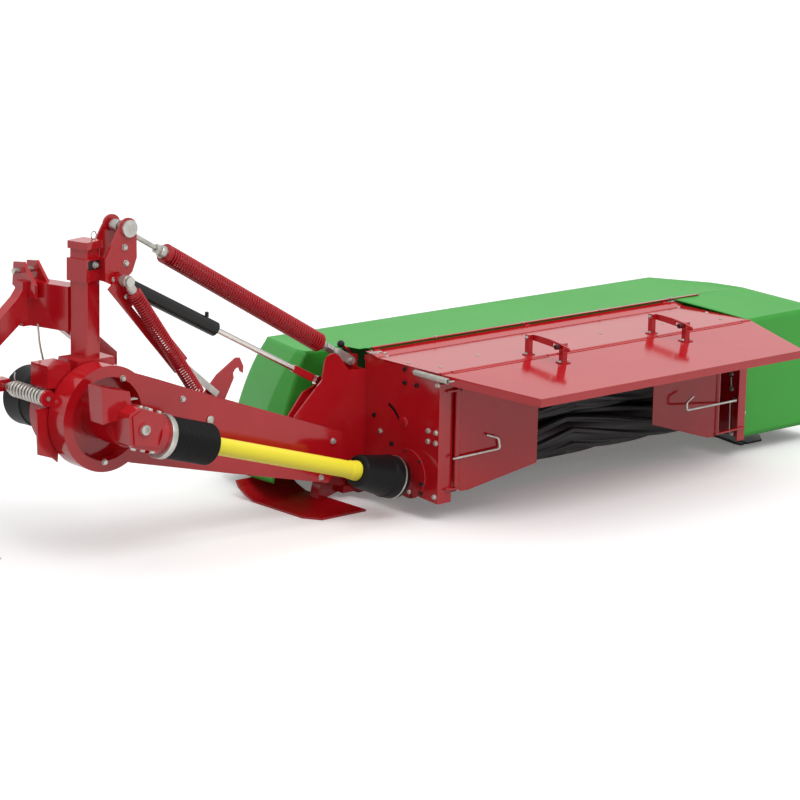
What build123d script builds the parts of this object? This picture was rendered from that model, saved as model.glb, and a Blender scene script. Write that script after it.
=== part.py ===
from build123d import *
import os
from math import atan2, cos, degrees, hypot, radians, sin

# Rear-mounted disc mower with a rubber roller conditioner, hung beside the tractor.
# The origin is midway between the two lower hitch pins.
# +X points along the mower bed, away from the tractor, +Y forward and +Z up.

# Stance: the mower bed lies on its skids and the hitch stands on its parking leg.
hitch_height = 625
bed_offset = 1655
bed_rear = -894
floor_z = -hitch_height

# Mower bed
bed_width = 2100
plate_thickness = 8
plate_bottom = 89
plate_top = 699
plate_rear_top = 655
plate_depth = 520
flange_depth = 8
flange_left = 85
flange_right = 53
toe_rear = 520
toe_front = 600
toe_bottom = 45
toe_top = 120

# Upper panel, flap hinge and top beam
panel_top = 707
panel_depth = 526
panel_sheet = 6
panel_lip = 26
hinge_z = 700
hinge_rod_radius = 6
hinge_knuckle_radius = 11
knuckle_length = 60
running_gap = 0.05
side_gap = 6
beam_size = 80
beam_y = 470
beam_wall = 6

# Rear flap
flap_length = 500
flap_drop = 47
flap_inset = 160
flap_sheet = 5
flap_lip = 40
flap_edge_gap = 17

# Flap adjusters: a slotted bar swings on a leg of the panel and is clamped to a leg of the flap
adjuster_places = (610, 1446)
adjuster_pivot_y = 66
adjuster_pivot_z = 790
adjuster_clamp_y = -122
adjuster_clamp_z = 775
adjuster_leg_width = 24
adjuster_bar_sheet = 10
adjuster_slot_width = 14
adjuster_slot = (148, 218)

# Swath doors
door_pin_left_inset = 102
door_pin_right_inset = 228
door_pin_y = -14
door_pin_radius = 8
door_sleeve_radius = 13
door_length = 405
door_sheet = 5
door_bottom = 140
door_rise = 108
door_top_inner = 668
door_top_tip = 555
door_turn_left = 20
door_turn_right = -9

# Conditioner rollers
roller_radius = 105
roller_core = 84
roller_lugs = 8
roller_twist = 118
roller_end_gap = 22
roller_upper_y = 240
roller_upper_z = 434
roller_lower_y = 268
roller_lower_z = 221
journal_radius = 22
bearing_radius = 46
bearing_depth = 14

# Cutterbar and its discs
bar_rear = 600
bar_front = 838
bar_bottom = 26
bar_top = 72
bar_overhang = 55
disc_count = 6
disc_y = 728
disc_pitch = 344
disc_tip = 205
disc_half_length = 158
disc_half_width = 122
disc_sheet = 9
disc_gap = 7
disc_dome = 34
disc_hub_radius = 58
blade_width = 48
blade_sheet = 5
skid_width = 230
skid_sheet = 12

# Shoes under the ends of the bed
shoe_sheet = 10
inner_shoe_left = 440
inner_shoe_right = -120
inner_shoe_rear = 360
inner_shoe_front = 800
outer_shoe_left = bed_width + 50
outer_shoe_right = bed_width + 380
outer_shoe_rear = 150
outer_shoe_front = 790
shoe_tip_rise = 80

# Tower on the inner end of the bed
tower_rear_plate = 514
tower_front_plate = 578
tower_sheet = 10
tower_strut_front = 632
spring_pin_x = -50
spring_pin_z = 677
cylinder_eye_x = -264
cylinder_eye_z = 610
fold_x = -300
fold_z = 245
fold_pin_radius = 30
lug_radius = 32

# Canvas guard over the discs
guard_wall = 8
guard_top_rear = 729
guard_top_front = 707
guard_front_top = 1109
guard_front_bottom = 1235
guard_bottom = 95
guard_side_out = 540
guard_left_out = 226
guard_chamfer_x = 112
guard_chamfer_y = 357
guard_flare = 85
guard_seam = 556
guard_seam_gap = 7
tower_notch = -6
notch_depth = 122
guard_rod_y = panel_depth + 10
guard_rod_z = 722
guard_rod_radius = 8
guard_hem_radius = 13
wing_rear = 22

# Boom: pivot on the hitch, box casing, drive line
pivot_x = 71
pivot_z = 21
boom_rear = 395
boom_depth = 113
boom_wall = 8
boom_end_radius = 235
boom_dish_radius = 185
boom_dish_depth = 68
journal_outer = 80
journal_bore = 58
turret_gap = 6
turret_depth = 186
turret_radius = 198
pto_radius = 17.4
pto_front = 50
pto_spline_length = 90
bell_radius = 136
bell_wall = 5
bell_length = 270

# Drive shaft from the boom gearbox to the mower bed, seen from the rear
shaft_y = 200
shaft_start_x = 195
shaft_start_z = -32
shaft_end_x = bed_offset - 110
shaft_end_z = -428
tube_radius = 40
tube_wall = 6
inner_tube_radius = 30
joint_pin_radius = 9
guard_radius = 104
guard_rib = 12
guard_shell = 6

# Mast, bracket, springs and lift cylinder
mast_x = 95
mast_y = 594
mast_size = 95
mast_bottom = 262
mast_top = 742
mast_turn = 14
cap_size = 112
cap_height = 33
ear_sheet = 10
ear_rear = 500
ear_front = 620
top_pin_x = 259
top_pin_z = 823
top_pin_radius = 14
low_pin_x = 205
low_pin_z = 606
low_pin_radius = 14
long_spring_y = 583
long_spring_radius = 46
long_spring_wire = 9
spring_bore = 22
short_spring_y = 443
short_spring_radius = 32
short_spring_wire = 8
link_y = 488
link_sheet = 8
link_width = 90
link_bar_width = 30
cylinder_y = 550
barrel_radius = 34
rod_radius = 13.5
eye_width = 24

# Hitch frame
lower_pin_spread = 412.5
lower_pin_radius = 14
lower_pin_length = 110
top_link_z = 610
top_link_radius = 12.7
top_link_gap = 56
hitch_beam_width = 90
hitch_beam_top = 570
hitch_beam_bottom = 372
frame_depth = 60
break_x = -165
break_z = 122
break_rear_y = 514
break_coil_end = 790
leg_size = 70
leg_knee_z = 185
stand_x = -345
stand_y = -96
stand_tube = 40
stand_sleeve = 54
stand_foot = 150
stand_sheet = 8

os.makedirs("parts", exist_ok=True)


def bed_across(x):
    """Plane square to the bed's length: its own axes are forward and up from the bed's corner."""
    return Plane(origin=(bed_offset + x, bed_rear, floor_z), x_dir=(0, 1, 0), z_dir=(1, 0, 0))


def bed_along(y):
    """Upright plane along the bed, drawn in length and height, extruded towards the rear."""
    return Plane(origin=(bed_offset, bed_rear + y, floor_z), x_dir=(1, 0, 0), z_dir=(0, -1, 0))


def bed_level(z):
    """Level plane of the bed at a height above the ground."""
    return Plane(origin=(bed_offset, bed_rear, floor_z + z))


def hitch_along(y):
    """Upright plane of hitch and boom, a distance forward of the bed's rear, extruded rearwards."""
    return Plane(origin=(0, bed_rear + y, 0), x_dir=(1, 0, 0), z_dir=(0, -1, 0))


def aimed(start, end):
    """Plane at one point that faces another, with its own X axis level."""
    way = Vector(*end) - Vector(*start)
    side = Vector(-way.Y, way.X, 0) if abs(way.X) + abs(way.Y) > 1e-6 else Vector(1, 0, 0)
    return Plane(origin=start, x_dir=side, z_dir=way)


def rod(start, end, radius, mode=Mode.ADD):
    """Round bar from one point to another, added to the part being built."""
    with BuildSketch(aimed(start, end)) as section:
        Circle(radius)
    extrude(section.sketch, amount=(Vector(*end) - Vector(*start)).length, mode=mode)


def bar(start, end, width, height, mode=Mode.ADD):
    """Rectangular bar from one point to another, its width level."""
    with BuildSketch(aimed(start, end)) as section:
        Rectangle(width, height)
    extrude(section.sketch, amount=(Vector(*end) - Vector(*start)).length, mode=mode)


def on_boom(x, y, z):
    """Point of hitch or boom: y is counted forward from the bed's rear."""
    return (x, bed_rear + y, z)


def on_bed(x, y, z):
    """Point of the bed, counted from its left rear corner on the ground."""
    return (bed_offset + x, bed_rear + y, floor_z + z)


def save(builder, label):
    """Label the finished piece and write it to its own file."""
    builder.part.label = label
    export_step(builder.part, f"parts/{label}.step")


# Side plates of the bed, with the rear flange, the conditioner bearings and the toe on the bar
for label, x_outer, inward, flange in (
    ("side_plate_left", 0, 1, flange_left),
    ("side_plate_right", bed_width, -1, flange_right),
):
    with BuildPart() as side_plate:
        with BuildSketch(bed_across(x_outer)):
            with BuildLine():
                Polyline(
                    (0, plate_bottom),
                    (200, plate_bottom + 18),
                    (430, plate_bottom + 42),
                    (toe_rear, toe_bottom),
                    (toe_front, toe_bottom),
                    (toe_front, toe_top),
                    (plate_depth + 20, 260),
                    (plate_depth, 300),
                    (plate_depth, plate_top),
                    (38, plate_top),
                    (0, plate_rear_top),
                    close=True,
                )
            make_face()
            with BuildLine(mode=Mode.PRIVATE) as slot_arc:
                CenterArc((404, 361), 148, 114, 34)
            SlotArc(slot_arc.edges()[0], 22, mode=Mode.SUBTRACT)
            for hole_y, hole_z, hole_radius in (
                (448, 431, 11),
                (321, 317, 9),
                (242, 676, 8),
                (242, 622, 8),
                (160, 622, 8),
            ):
                with Locations((hole_y, hole_z)):
                    Circle(hole_radius, mode=Mode.SUBTRACT)
        extrude(amount=inward * plate_thickness)
        x_flange = x_outer + inward * (plate_thickness + flange) / 2
        with BuildSketch(bed_along(flange_depth)):
            with Locations((x_flange, (plate_bottom + plate_rear_top) / 2)):
                Rectangle(flange - plate_thickness, plate_rear_top - plate_bottom)
        extrude(amount=flange_depth)
        for roller_y, roller_z in ((roller_upper_y, roller_upper_z), (roller_lower_y, roller_lower_z)):
            with BuildSketch(bed_across(x_outer + inward * plate_thickness)):
                with Locations((roller_y, roller_z)):
                    Circle(bearing_radius)
            extrude(amount=inward * bearing_depth)
            with BuildSketch(bed_across(x_outer)):
                with Locations((roller_y, roller_z)):
                    Circle(journal_radius + running_gap)
            extrude(amount=inward * (plate_thickness + bearing_depth), mode=Mode.SUBTRACT)
    save(side_plate, label)

# Square beam under the panel that joins the side plates
inner_width = bed_width - 2 * plate_thickness
with BuildPart() as top_beam:
    with BuildSketch(bed_across(plate_thickness)):
        with Locations((beam_y, plate_top - 10 - beam_size / 2)):
            Rectangle(beam_size, beam_size)
            Rectangle(beam_size - 2 * beam_wall, beam_size - 2 * beam_wall, mode=Mode.SUBTRACT)
    extrude(amount=inner_width)
save(top_beam, "top_beam")

# Upper panel: one bent sheet with knuckles for the flap at its rear edge and lugs for the guard's rod
knuckle_places = [knuckle_length / 2 + 2 + i * (bed_width - knuckle_length - 4) / 3 for i in range(4)]
lug_places = (70, bed_width / 2, bed_width - 70)
lug_width = 30
with BuildPart() as upper_panel:
    with BuildSketch(bed_across(0)):
        with BuildLine():
            Polyline(
                (flap_edge_gap, panel_top - panel_sheet),
                (panel_depth - panel_sheet, panel_top - panel_sheet),
                (panel_depth - panel_sheet, panel_top - panel_lip),
                (panel_depth, panel_top - panel_lip),
                (panel_depth, panel_top),
                (flap_edge_gap, panel_top),
                close=True,
            )
        make_face()
    extrude(amount=bed_width)
    for place in knuckle_places:
        with BuildSketch(bed_across(place - knuckle_length / 2)):
            with Locations((0, hinge_z)):
                Circle(hinge_knuckle_radius)
            with Locations((flap_edge_gap / 2 + 3, hinge_z + 1)):
                Rectangle(flap_edge_gap + 6, 10)
            with Locations((0, hinge_z)):
                Circle(hinge_rod_radius, mode=Mode.SUBTRACT)
        extrude(amount=knuckle_length)
    for place in lug_places:
        with BuildSketch(bed_across(place - lug_width / 2)):
            with Locations((guard_rod_y, guard_rod_z)):
                Circle(guard_hem_radius)
            with BuildLine():
                Polyline(
                    (panel_depth - 30, panel_top),
                    (panel_depth, panel_top - 6),
                    (guard_rod_y + 5, guard_rod_z - 11),
                    (guard_rod_y - 2, guard_rod_z + 12),
                    close=True,
                )
            make_face()
            with Locations((guard_rod_y, guard_rod_z)):
                Circle(guard_rod_radius, mode=Mode.SUBTRACT)
        extrude(amount=lug_width)
save(upper_panel, "upper_panel")

with BuildPart() as flap_hinge_rod:
    rod(on_bed(2, 0, hinge_z), on_bed(bed_width - 2, 0, hinge_z), hinge_rod_radius)
save(flap_hinge_rod, "flap_hinge_rod")

with BuildPart() as guard_rod:
    rod(
        on_bed(lug_places[0] - lug_width / 2, guard_rod_y, guard_rod_z),
        on_bed(lug_places[-1] + lug_width / 2, guard_rod_y, guard_rod_z),
        guard_rod_radius,
    )
save(guard_rod, "guard_rod")

# Rear flap: a tapered sheet with turned-down edges, hung on knuckles between those of the panel
flap_slope = atan2(flap_drop, flap_length)
flap_run = hypot(flap_length, flap_drop)
flap_top_z = panel_top - 1
flap_plane = Plane(
    origin=on_bed(0, 0, flap_top_z),
    x_dir=(1, 0, 0),
    z_dir=(0, -sin(flap_slope), cos(flap_slope)),
)
flap_front = -17
with BuildPart() as rear_flap:
    with BuildSketch(flap_plane):
        with BuildLine() as flap_outline:
            Polyline(
                (2, flap_front),
                (bed_width - 2, flap_front),
                (bed_width - flap_inset, -flap_run),
                (flap_inset, -flap_run),
                close=True,
            )
        make_face()
    extrude(amount=-flap_sheet)
    with BuildSketch(flap_plane.offset(-flap_sheet)):
        with BuildLine():
            Polyline(
                (2, flap_front - 18),
                (flap_inset, -flap_run),
                (bed_width - flap_inset, -flap_run),
                (bed_width - 2, flap_front - 18),
                (bed_width - 2 - flap_sheet, flap_front - 18),
                (bed_width - flap_inset - flap_sheet, -flap_run + flap_sheet),
                (flap_inset + flap_sheet, -flap_run + flap_sheet),
                (2 + flap_sheet, flap_front - 18),
                close=True,
            )
        make_face()
    extrude(amount=-(flap_lip - flap_sheet))
    for first, second in zip(knuckle_places, knuckle_places[1:]):
        left = first + knuckle_length / 2 + side_gap
        right = second - knuckle_length / 2 - side_gap
        with BuildSketch(bed_across(left)):
            with Locations((0, hinge_z)):
                Circle(hinge_knuckle_radius)
            with Locations((-11, hinge_z + 2)):
                Rectangle(20, 9)
            with Locations((0, hinge_z)):
                Circle(hinge_rod_radius + running_gap, mode=Mode.SUBTRACT)
        extrude(amount=right - left)
save(rear_flap, "rear_flap")

# Adjusters: legs on the panel, slotted bars that swing on them, and legs with knobs on the flap
slot_way = Vector(adjuster_clamp_y - adjuster_pivot_y, adjuster_clamp_z - adjuster_pivot_z).normalized()
bar_x = adjuster_leg_width + 2
clamp_x = bar_x + adjuster_bar_sheet + 5
pivot_radius = 8
screw_radius = 5
with BuildPart() as adjuster_legs:
    for place in adjuster_places:
        with BuildSketch(bed_across(place)):
            with Locations((adjuster_pivot_y - 2, (panel_top + adjuster_pivot_z + 14) / 2)):
                Rectangle(28, adjuster_pivot_z + 14 - panel_top)
        extrude(amount=adjuster_leg_width)
        with BuildSketch(bed_level(panel_top)):
            with Locations((place + adjuster_leg_width / 2, adjuster_pivot_y - 2)):
                Rectangle(adjuster_leg_width + 22, 40)
        extrude(amount=5)
        rod(
            on_bed(place + adjuster_leg_width, adjuster_pivot_y, adjuster_pivot_z),
            on_bed(place + bar_x + adjuster_bar_sheet + 8, adjuster_pivot_y, adjuster_pivot_z),
            pivot_radius,
        )
        rod(
            on_bed(place + bar_x + adjuster_bar_sheet + 1, adjuster_pivot_y, adjuster_pivot_z),
            on_bed(place + bar_x + adjuster_bar_sheet + 8, adjuster_pivot_y, adjuster_pivot_z),
            pivot_radius + 4,
        )
save(adjuster_legs, "adjuster_legs")

with BuildPart() as flap_arcs:
    for place in adjuster_places:
        with BuildSketch(bed_across(place + bar_x)):
            with BuildLine():
                Polyline(
                    (adjuster_pivot_y + 12, adjuster_pivot_z + 9),
                    (adjuster_pivot_y + 6, adjuster_pivot_z + 13),
                    (adjuster_pivot_y - 46, adjuster_pivot_z + 14),
                    (adjuster_pivot_y - 124, adjuster_pivot_z + 10),
                    (adjuster_clamp_y - 8, adjuster_clamp_z + 14),
                    (adjuster_clamp_y - 60, adjuster_clamp_z + 3),
                    (adjuster_clamp_y - 66, adjuster_clamp_z - 4),
                    (adjuster_clamp_y - 62, adjuster_clamp_z - 16),
                    (adjuster_clamp_y - 20, adjuster_clamp_z - 15),
                    (adjuster_clamp_y + 42, adjuster_clamp_z - 9),
                    (adjuster_pivot_y - 46, adjuster_pivot_z - 16),
                    (adjuster_pivot_y + 4, adjuster_pivot_z - 13),
                    (adjuster_pivot_y + 12, adjuster_pivot_z - 7),
                    close=True,
                )
            make_face()
            with Locations((adjuster_pivot_y, adjuster_pivot_z)):
                Circle(pivot_radius + running_gap, mode=Mode.SUBTRACT)
            with BuildLine(mode=Mode.PRIVATE) as slot_line:
                Line(
                    *[
                        (adjuster_pivot_y + slot_way.X * reach, adjuster_pivot_z + slot_way.Y * reach)
                        for reach in adjuster_slot
                    ]
                )
            SlotArc(slot_line.edges()[0], adjuster_slot_width, mode=Mode.SUBTRACT)
        extrude(amount=adjuster_bar_sheet)
save(flap_arcs, "flap_arcs")

foot_z = flap_top_z + adjuster_clamp_y * flap_drop / flap_length
with BuildPart() as flap_clamps:
    for place in adjuster_places:
        with BuildSketch(bed_across(place + clamp_x)):
            with BuildLine():
                Polyline(
                    (adjuster_clamp_y - 13, foot_z - 1),
                    (adjuster_clamp_y + 13, foot_z + 1.5),
                    (adjuster_clamp_y + 13, adjuster_clamp_z + 14),
                    (adjuster_clamp_y - 13, adjuster_clamp_z + 14),
                    close=True,
                )
            make_face()
        extrude(amount=30)
        with BuildSketch(flap_plane):
            with Locations((place + clamp_x + 17, adjuster_clamp_y)):
                Rectangle(58, 44)
        extrude(amount=5)
        rod(
            on_bed(place + clamp_x + 2, adjuster_clamp_y, adjuster_clamp_z),
            on_bed(place + bar_x - 14, adjuster_clamp_y, adjuster_clamp_z),
            screw_radius,
        )
        rod(
            on_bed(place + bar_x - 4, adjuster_clamp_y, adjuster_clamp_z),
            on_bed(place + bar_x - 22, adjuster_clamp_y, adjuster_clamp_z),
            12,
        )
save(flap_clamps, "flap_clamps")

# Swath doors: upright pins on lugs of the flanges, and a folded sheet that turns on each
door_lug_heights = (door_bottom + 12, door_top_inner - 52)
door_lug_sheet = 8
for side, x_pin, x_lug in (
    ("left", door_pin_left_inset, flange_left),
    ("right", bed_width - door_pin_right_inset, bed_width - flange_right),
):
    with BuildPart() as door_pin:
        rod(
            on_bed(x_pin, door_pin_y, door_lug_heights[0] - 4),
            on_bed(x_pin, door_pin_y, door_lug_heights[1] + door_lug_sheet + 4),
            door_pin_radius,
        )
        for height in door_lug_heights:
            with BuildSketch(bed_level(height)):
                with Locations((x_pin, door_pin_y)):
                    Circle(door_sleeve_radius)
                outward = 1 if x_pin > x_lug else -1
                with BuildLine():
                    Polyline(
                        (x_lug - outward * 45, 0),
                        (x_lug, 0),
                        (x_pin, door_pin_y + 12),
                        (x_pin, door_pin_y - 12),
                        (x_lug - outward * 45, -12),
                        close=True,
                    )
                make_face()
            extrude(amount=door_lug_sheet)
    save(door_pin, f"door_pin_{side}")

door_low = door_lug_heights[0] + door_lug_sheet + 1
door_high = door_lug_heights[1] - 1
for side, x_pin, turn, way in (
    ("left", door_pin_left_inset, door_turn_left, 1),
    ("right", bed_width - door_pin_right_inset, door_turn_right, -1),
):
    along = Vector(way * cos(radians(turn)), -sin(radians(turn)), 0)
    face = Plane(origin=on_bed(x_pin, door_pin_y, 0), x_dir=along, z_dir=(-along.Y * way, along.X * way, 0))
    up = 1 if face.y_dir.Z > 0 else -1
    with BuildPart() as door:
        with BuildSketch(face):
            with BuildLine():
                Polyline(
                    (0, up * door_low),
                    (20, up * door_bottom),
                    (60, up * (door_bottom + 3)),
                    (door_length, up * (door_bottom + door_rise)),
                    (door_length, up * door_top_tip),
                    (30, up * door_top_inner),
                    (18, up * door_high),
                    (0, up * door_high),
                    close=True,
                )
            make_face()
        extrude(amount=door_sheet / 2, both=True)
        with BuildSketch(bed_level(door_low)):
            with Locations((x_pin, door_pin_y)):
                Circle(door_sleeve_radius)
        extrude(amount=door_high - door_low)
        with BuildSketch(bed_level(door_bottom)):
            with Locations((x_pin, door_pin_y)):
                Circle(door_pin_radius + running_gap)
        extrude(amount=door_top_inner - door_bottom, mode=Mode.SUBTRACT)
        for height in door_lug_heights:
            with BuildSketch(bed_level(height - 1)):
                with Locations((x_pin, door_pin_y)):
                    Circle(door_sleeve_radius + 4)
            extrude(amount=door_lug_sheet + 2, mode=Mode.SUBTRACT)
    save(door, f"door_{side}")

# Conditioner rollers: rubber lugs that wind in opposite hands from the middle to the ends
roller_length = bed_width - 2 * (plate_thickness + bearing_depth + roller_end_gap)
roller_half = roller_length / 2
lug_root = 17
lug_tip = 10
roller_middle = bed_width / 2
for label, roller_y, roller_z, phase in (
    ("roller_upper", roller_upper_y, roller_upper_z, 0),
    ("roller_lower", roller_lower_y, roller_lower_z, 180 / roller_lugs),
):
    with BuildPart() as roller:
        for way in (1, -1):
            start = Plane(
                origin=on_bed(roller_middle, roller_y, roller_z),
                x_dir=(0, 1, 0),
                z_dir=(way, 0, 0),
            )
            with BuildSketch(start, mode=Mode.PRIVATE) as lug_section:
                Circle(roller_core)
                with PolarLocations(0, roller_lugs, start_angle=way * phase):
                    Polygon(
                        (roller_core - 6, -lug_root),
                        (roller_radius - 1, -lug_tip),
                        (roller_radius, 0),
                        (roller_radius - 1, lug_tip),
                        (roller_core - 6, lug_root),
                        align=None,
                    )
            add(
                Solid.extrude_linear_with_rotation(
                    lug_section.sketch.faces()[0],
                    center=start.origin,
                    normal=start.z_dir * roller_half,
                    angle=way * roller_twist,
                )
            )
        rod(on_bed(0, roller_y, roller_z), on_bed(bed_width, roller_y, roller_z), journal_radius)
    save(roller, label)

# Cutterbar: one flat housing with a rounded nose, hubs under the discs and wear skids below
disc_places = [bed_width / 2 + (i - (disc_count - 1) / 2) * disc_pitch for i in range(disc_count)]
disc_level = bar_top + 14
with BuildPart() as cutterbar:
    with BuildSketch(bed_across(-bar_overhang)):
        with BuildLine():
            Polyline(
                (bar_rear, bar_bottom),
                (bar_front - 30, bar_bottom),
                (bar_front, bar_bottom + 16),
                (bar_front, bar_top - 18),
                (bar_front - 30, bar_top),
                (bar_rear + 20, bar_top),
                (bar_rear, bar_top - 10),
                close=True,
            )
        make_face()
    extrude(amount=bed_width + 2 * bar_overhang)
    for place in disc_places:
        with BuildSketch(bed_level(bar_top)):
            with Locations((place, disc_y)):
                Circle(74)
        extrude(amount=disc_level - disc_gap - bar_top)
        with BuildSketch(bed_across(place - skid_width / 2)):
            with BuildLine():
                Polyline(
                    (bar_rear + 12, bar_bottom),
                    (bar_rear + 12, skid_sheet),
                    (bar_rear + 40, 0),
                    (bar_front - 20, 0),
                    (bar_front + 42, 34),
                    (bar_front + 36, 46),
                    (bar_front, 36),
                    (bar_front - 12, bar_bottom),
                    close=True,
                )
            make_face()
        extrude(amount=skid_width)
        with BuildSketch(bed_level(bar_top - 20)):
            with Locations((place, disc_y)):
                Circle(20 + running_gap)
        extrude(amount=60, mode=Mode.SUBTRACT)
save(cutterbar, "cutterbar")

# Oval mowing discs, each with a domed cap and two blades, set a quarter turn apart
for i, place in enumerate(disc_places):
    quarter = 90 * (i % 2)
    with BuildPart() as mowing_disc:
        with BuildSketch(bed_level(disc_level)):
            with Locations(Location((place, disc_y), quarter)):
                Ellipse(disc_half_length, disc_half_width)
        extrude(amount=disc_sheet)
        spin = Plane(origin=on_bed(place, disc_y, 0), x_dir=(1, 0, 0), z_dir=(0, -1, 0))
        with BuildSketch(spin):
            with BuildLine():
                Polyline(
                    (0, disc_level + disc_sheet - 2),
                    (disc_half_width - 14, disc_level + disc_sheet - 2),
                    (disc_hub_radius, disc_level + disc_sheet + disc_dome * 0.7),
                    (disc_hub_radius * 0.5, disc_level + disc_sheet + disc_dome),
                    (0, disc_level + disc_sheet + disc_dome),
                    close=True,
                )
            make_face()
        revolve(axis=Axis(on_bed(place, disc_y, 0), (0, 0, 1)))
        with BuildSketch(bed_level(bar_top - 18)):
            with Locations((place, disc_y)):
                Circle(20)
        extrude(amount=disc_level - bar_top + 20)
        for blade_turn in (quarter, quarter + 180):
            middle = (disc_half_length - 26 + disc_tip) / 2
            with BuildSketch(bed_level(disc_level - blade_sheet)):
                with Locations(
                    Location(
                        (
                            place + middle * cos(radians(blade_turn)),
                            disc_y + middle * sin(radians(blade_turn)),
                        ),
                        blade_turn,
                    )
                ):
                    Rectangle(disc_tip - disc_half_length + 26, blade_width)
            extrude(amount=blade_sheet)
    save(mowing_disc, f"disc_{i + 1}")

# Inner shoe: a plate that slides on the ground under the tower, curved up at its nose
with BuildPart() as inner_shoe:
    with BuildSketch(bed_across(-inner_shoe_left)):
        with BuildLine():
            Polyline(
                (inner_shoe_rear, 0),
                (inner_shoe_front, 0),
                (inner_shoe_front + 70, 22),
                (inner_shoe_front + 120, shoe_tip_rise - 30),
                (inner_shoe_front + 140, shoe_tip_rise),
                (inner_shoe_front + 128, shoe_tip_rise + 4),
                (inner_shoe_front + 108, shoe_tip_rise - 24),
                (inner_shoe_front + 64, 22 + shoe_sheet),
                (inner_shoe_front - 2, shoe_sheet),
                (inner_shoe_rear, shoe_sheet),
                close=True,
            )
        make_face()
    extrude(amount=inner_shoe_left + inner_shoe_right)
    with BuildSketch(bed_level(0)):
        with BuildLine():
            Polyline(
                (-inner_shoe_left - 5, inner_shoe_rear + 90),
                (-inner_shoe_left - 5, inner_shoe_rear - 5),
                (-inner_shoe_left + 55, inner_shoe_rear - 5),
                close=True,
            )
        make_face()
    extrude(amount=shoe_sheet, mode=Mode.SUBTRACT)
    with BuildSketch(bed_along(700)):
        with BuildLine():
            Polyline(
                (inner_shoe_right - 60, shoe_sheet),
                (inner_shoe_right, shoe_sheet),
                (-bar_overhang, bar_bottom),
                (-bar_overhang, bar_top),
                (inner_shoe_right - 40, bar_top + 20),
                close=True,
            )
        make_face()
    extrude(amount=60)
save(inner_shoe, "inner_shoe")

with BuildPart() as outer_shoe:
    with BuildSketch(bed_across(outer_shoe_left)):
        with BuildLine():
            Polyline(
                (outer_shoe_rear, 6),
                (outer_shoe_rear + 60, 0),
                (outer_shoe_front, 0),
                (outer_shoe_front + 80, 30),
                (outer_shoe_front + 120, shoe_tip_rise),
                (outer_shoe_front + 108, shoe_tip_rise + 4),
                (outer_shoe_front + 72, 30 + shoe_sheet),
                (outer_shoe_front - 4, shoe_sheet),
                (outer_shoe_rear, shoe_sheet + 6),
                close=True,
            )
        make_face()
    extrude(amount=outer_shoe_right - outer_shoe_left)
    with BuildSketch(bed_level(0)):
        with BuildLine():
            Polyline(
                (outer_shoe_left - 10, outer_shoe_rear - 50),
                (outer_shoe_left + 88, outer_shoe_rear - 50),
                (outer_shoe_left + 145, outer_shoe_rear + 200),
                (outer_shoe_left + 145, bar_rear + 20),
                (outer_shoe_left - 10, bar_rear + 20),
                close=True,
            )
        make_face()
        with BuildLine():
            Polyline(
                (outer_shoe_right + 10, outer_shoe_rear - 10),
                (outer_shoe_right + 10, outer_shoe_rear + 90),
                (outer_shoe_right - 80, outer_shoe_rear - 10),
                close=True,
            )
        make_face()
        with Locations((outer_shoe_left + 135, outer_shoe_rear + 5)):
            Rectangle(18, 80)
    extrude(amount=shoe_sheet + 8, mode=Mode.SUBTRACT)
    with BuildSketch(bed_along(bar_front - 118)):
        with BuildLine():
            Polyline(
                (bed_width + bar_overhang, shoe_sheet),
                (bed_width + bar_overhang + 70, shoe_sheet),
                (bed_width + bar_overhang + 50, bar_top + 20),
                (bed_width + bar_overhang, bar_top),
                close=True,
            )
        make_face()
    extrude(amount=60)
save(outer_shoe, "outer_shoe")

# Tower: two plates on the inner end of the bed that carry the fold pin, spring lug and cylinder
with BuildPart() as tower:
    with BuildSketch(bed_along(tower_rear_plate + tower_sheet)):
        with BuildLine():
            Polyline((0, 150), (0, 640), (-105, 646), (-158, plate_top + 13))
            ThreePointArc((-158, plate_top + 13), (-212, plate_top + 39), (-254, plate_top + 1))
            Polyline((-254, plate_top + 1), (-268, 620), (-431, 470), (-452, 300))
            ThreePointArc((-452, 300), (-400, 172), (-300, 150))
            Polyline((-300, 150), (0, 150))
        make_face()
        with Locations((fold_x, fold_z)):
            Circle(fold_pin_radius + running_gap, mode=Mode.SUBTRACT)
    extrude(amount=tower_sheet)
    with BuildSketch(bed_along(tower_front_plate + tower_sheet)):
        with BuildLine():
            Polyline(
                (0, 150),
                (0, 700),
                (-50, 708),
                (-80, 640),
                (-330, 560),
                (-431, 440),
                (-452, 300),
                (-420, 190),
                (-300, 150),
                close=True,
            )
        make_face()
        with Locations((spring_pin_x, spring_pin_z)):
            Circle(lug_radius)
        with Locations((fold_x, fold_z)):
            Circle(fold_pin_radius + running_gap, mode=Mode.SUBTRACT)
    extrude(amount=tower_sheet)
    with BuildSketch(bed_along(tower_front_plate)):
        with Locations((-8, 400)):
            Rectangle(16, 480)
        with Locations((-200, 156)):
            Rectangle(180, 12)
    extrude(amount=tower_front_plate - tower_rear_plate - tower_sheet)
    with BuildSketch(bed_along(tower_strut_front)):
        with BuildLine():
            Polyline(
                (-bar_overhang, bar_top),
                (-bar_overhang, 200),
                (-230, 200),
                (-230, 150),
                (-160, bar_top + 20),
                (-90, bar_top),
                close=True,
            )
        make_face()
    extrude(amount=tower_strut_front - tower_front_plate - tower_sheet)
save(tower, "tower")

# Input of the bed: stub and collar where the drive shaft's guard ends
shaft_tilt = atan2(shaft_end_z - shaft_start_z, shaft_end_x - shaft_start_x)
input_z = shaft_end_z - floor_z
with BuildPart() as bed_input:
    rod(on_bed(0, shaft_y, input_z), on_bed(-5, shaft_y, input_z), 118)
    rod(on_bed(-4, shaft_y, input_z), on_bed(-80, shaft_y, input_z), 16)
save(bed_input, "bed_input")


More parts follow.
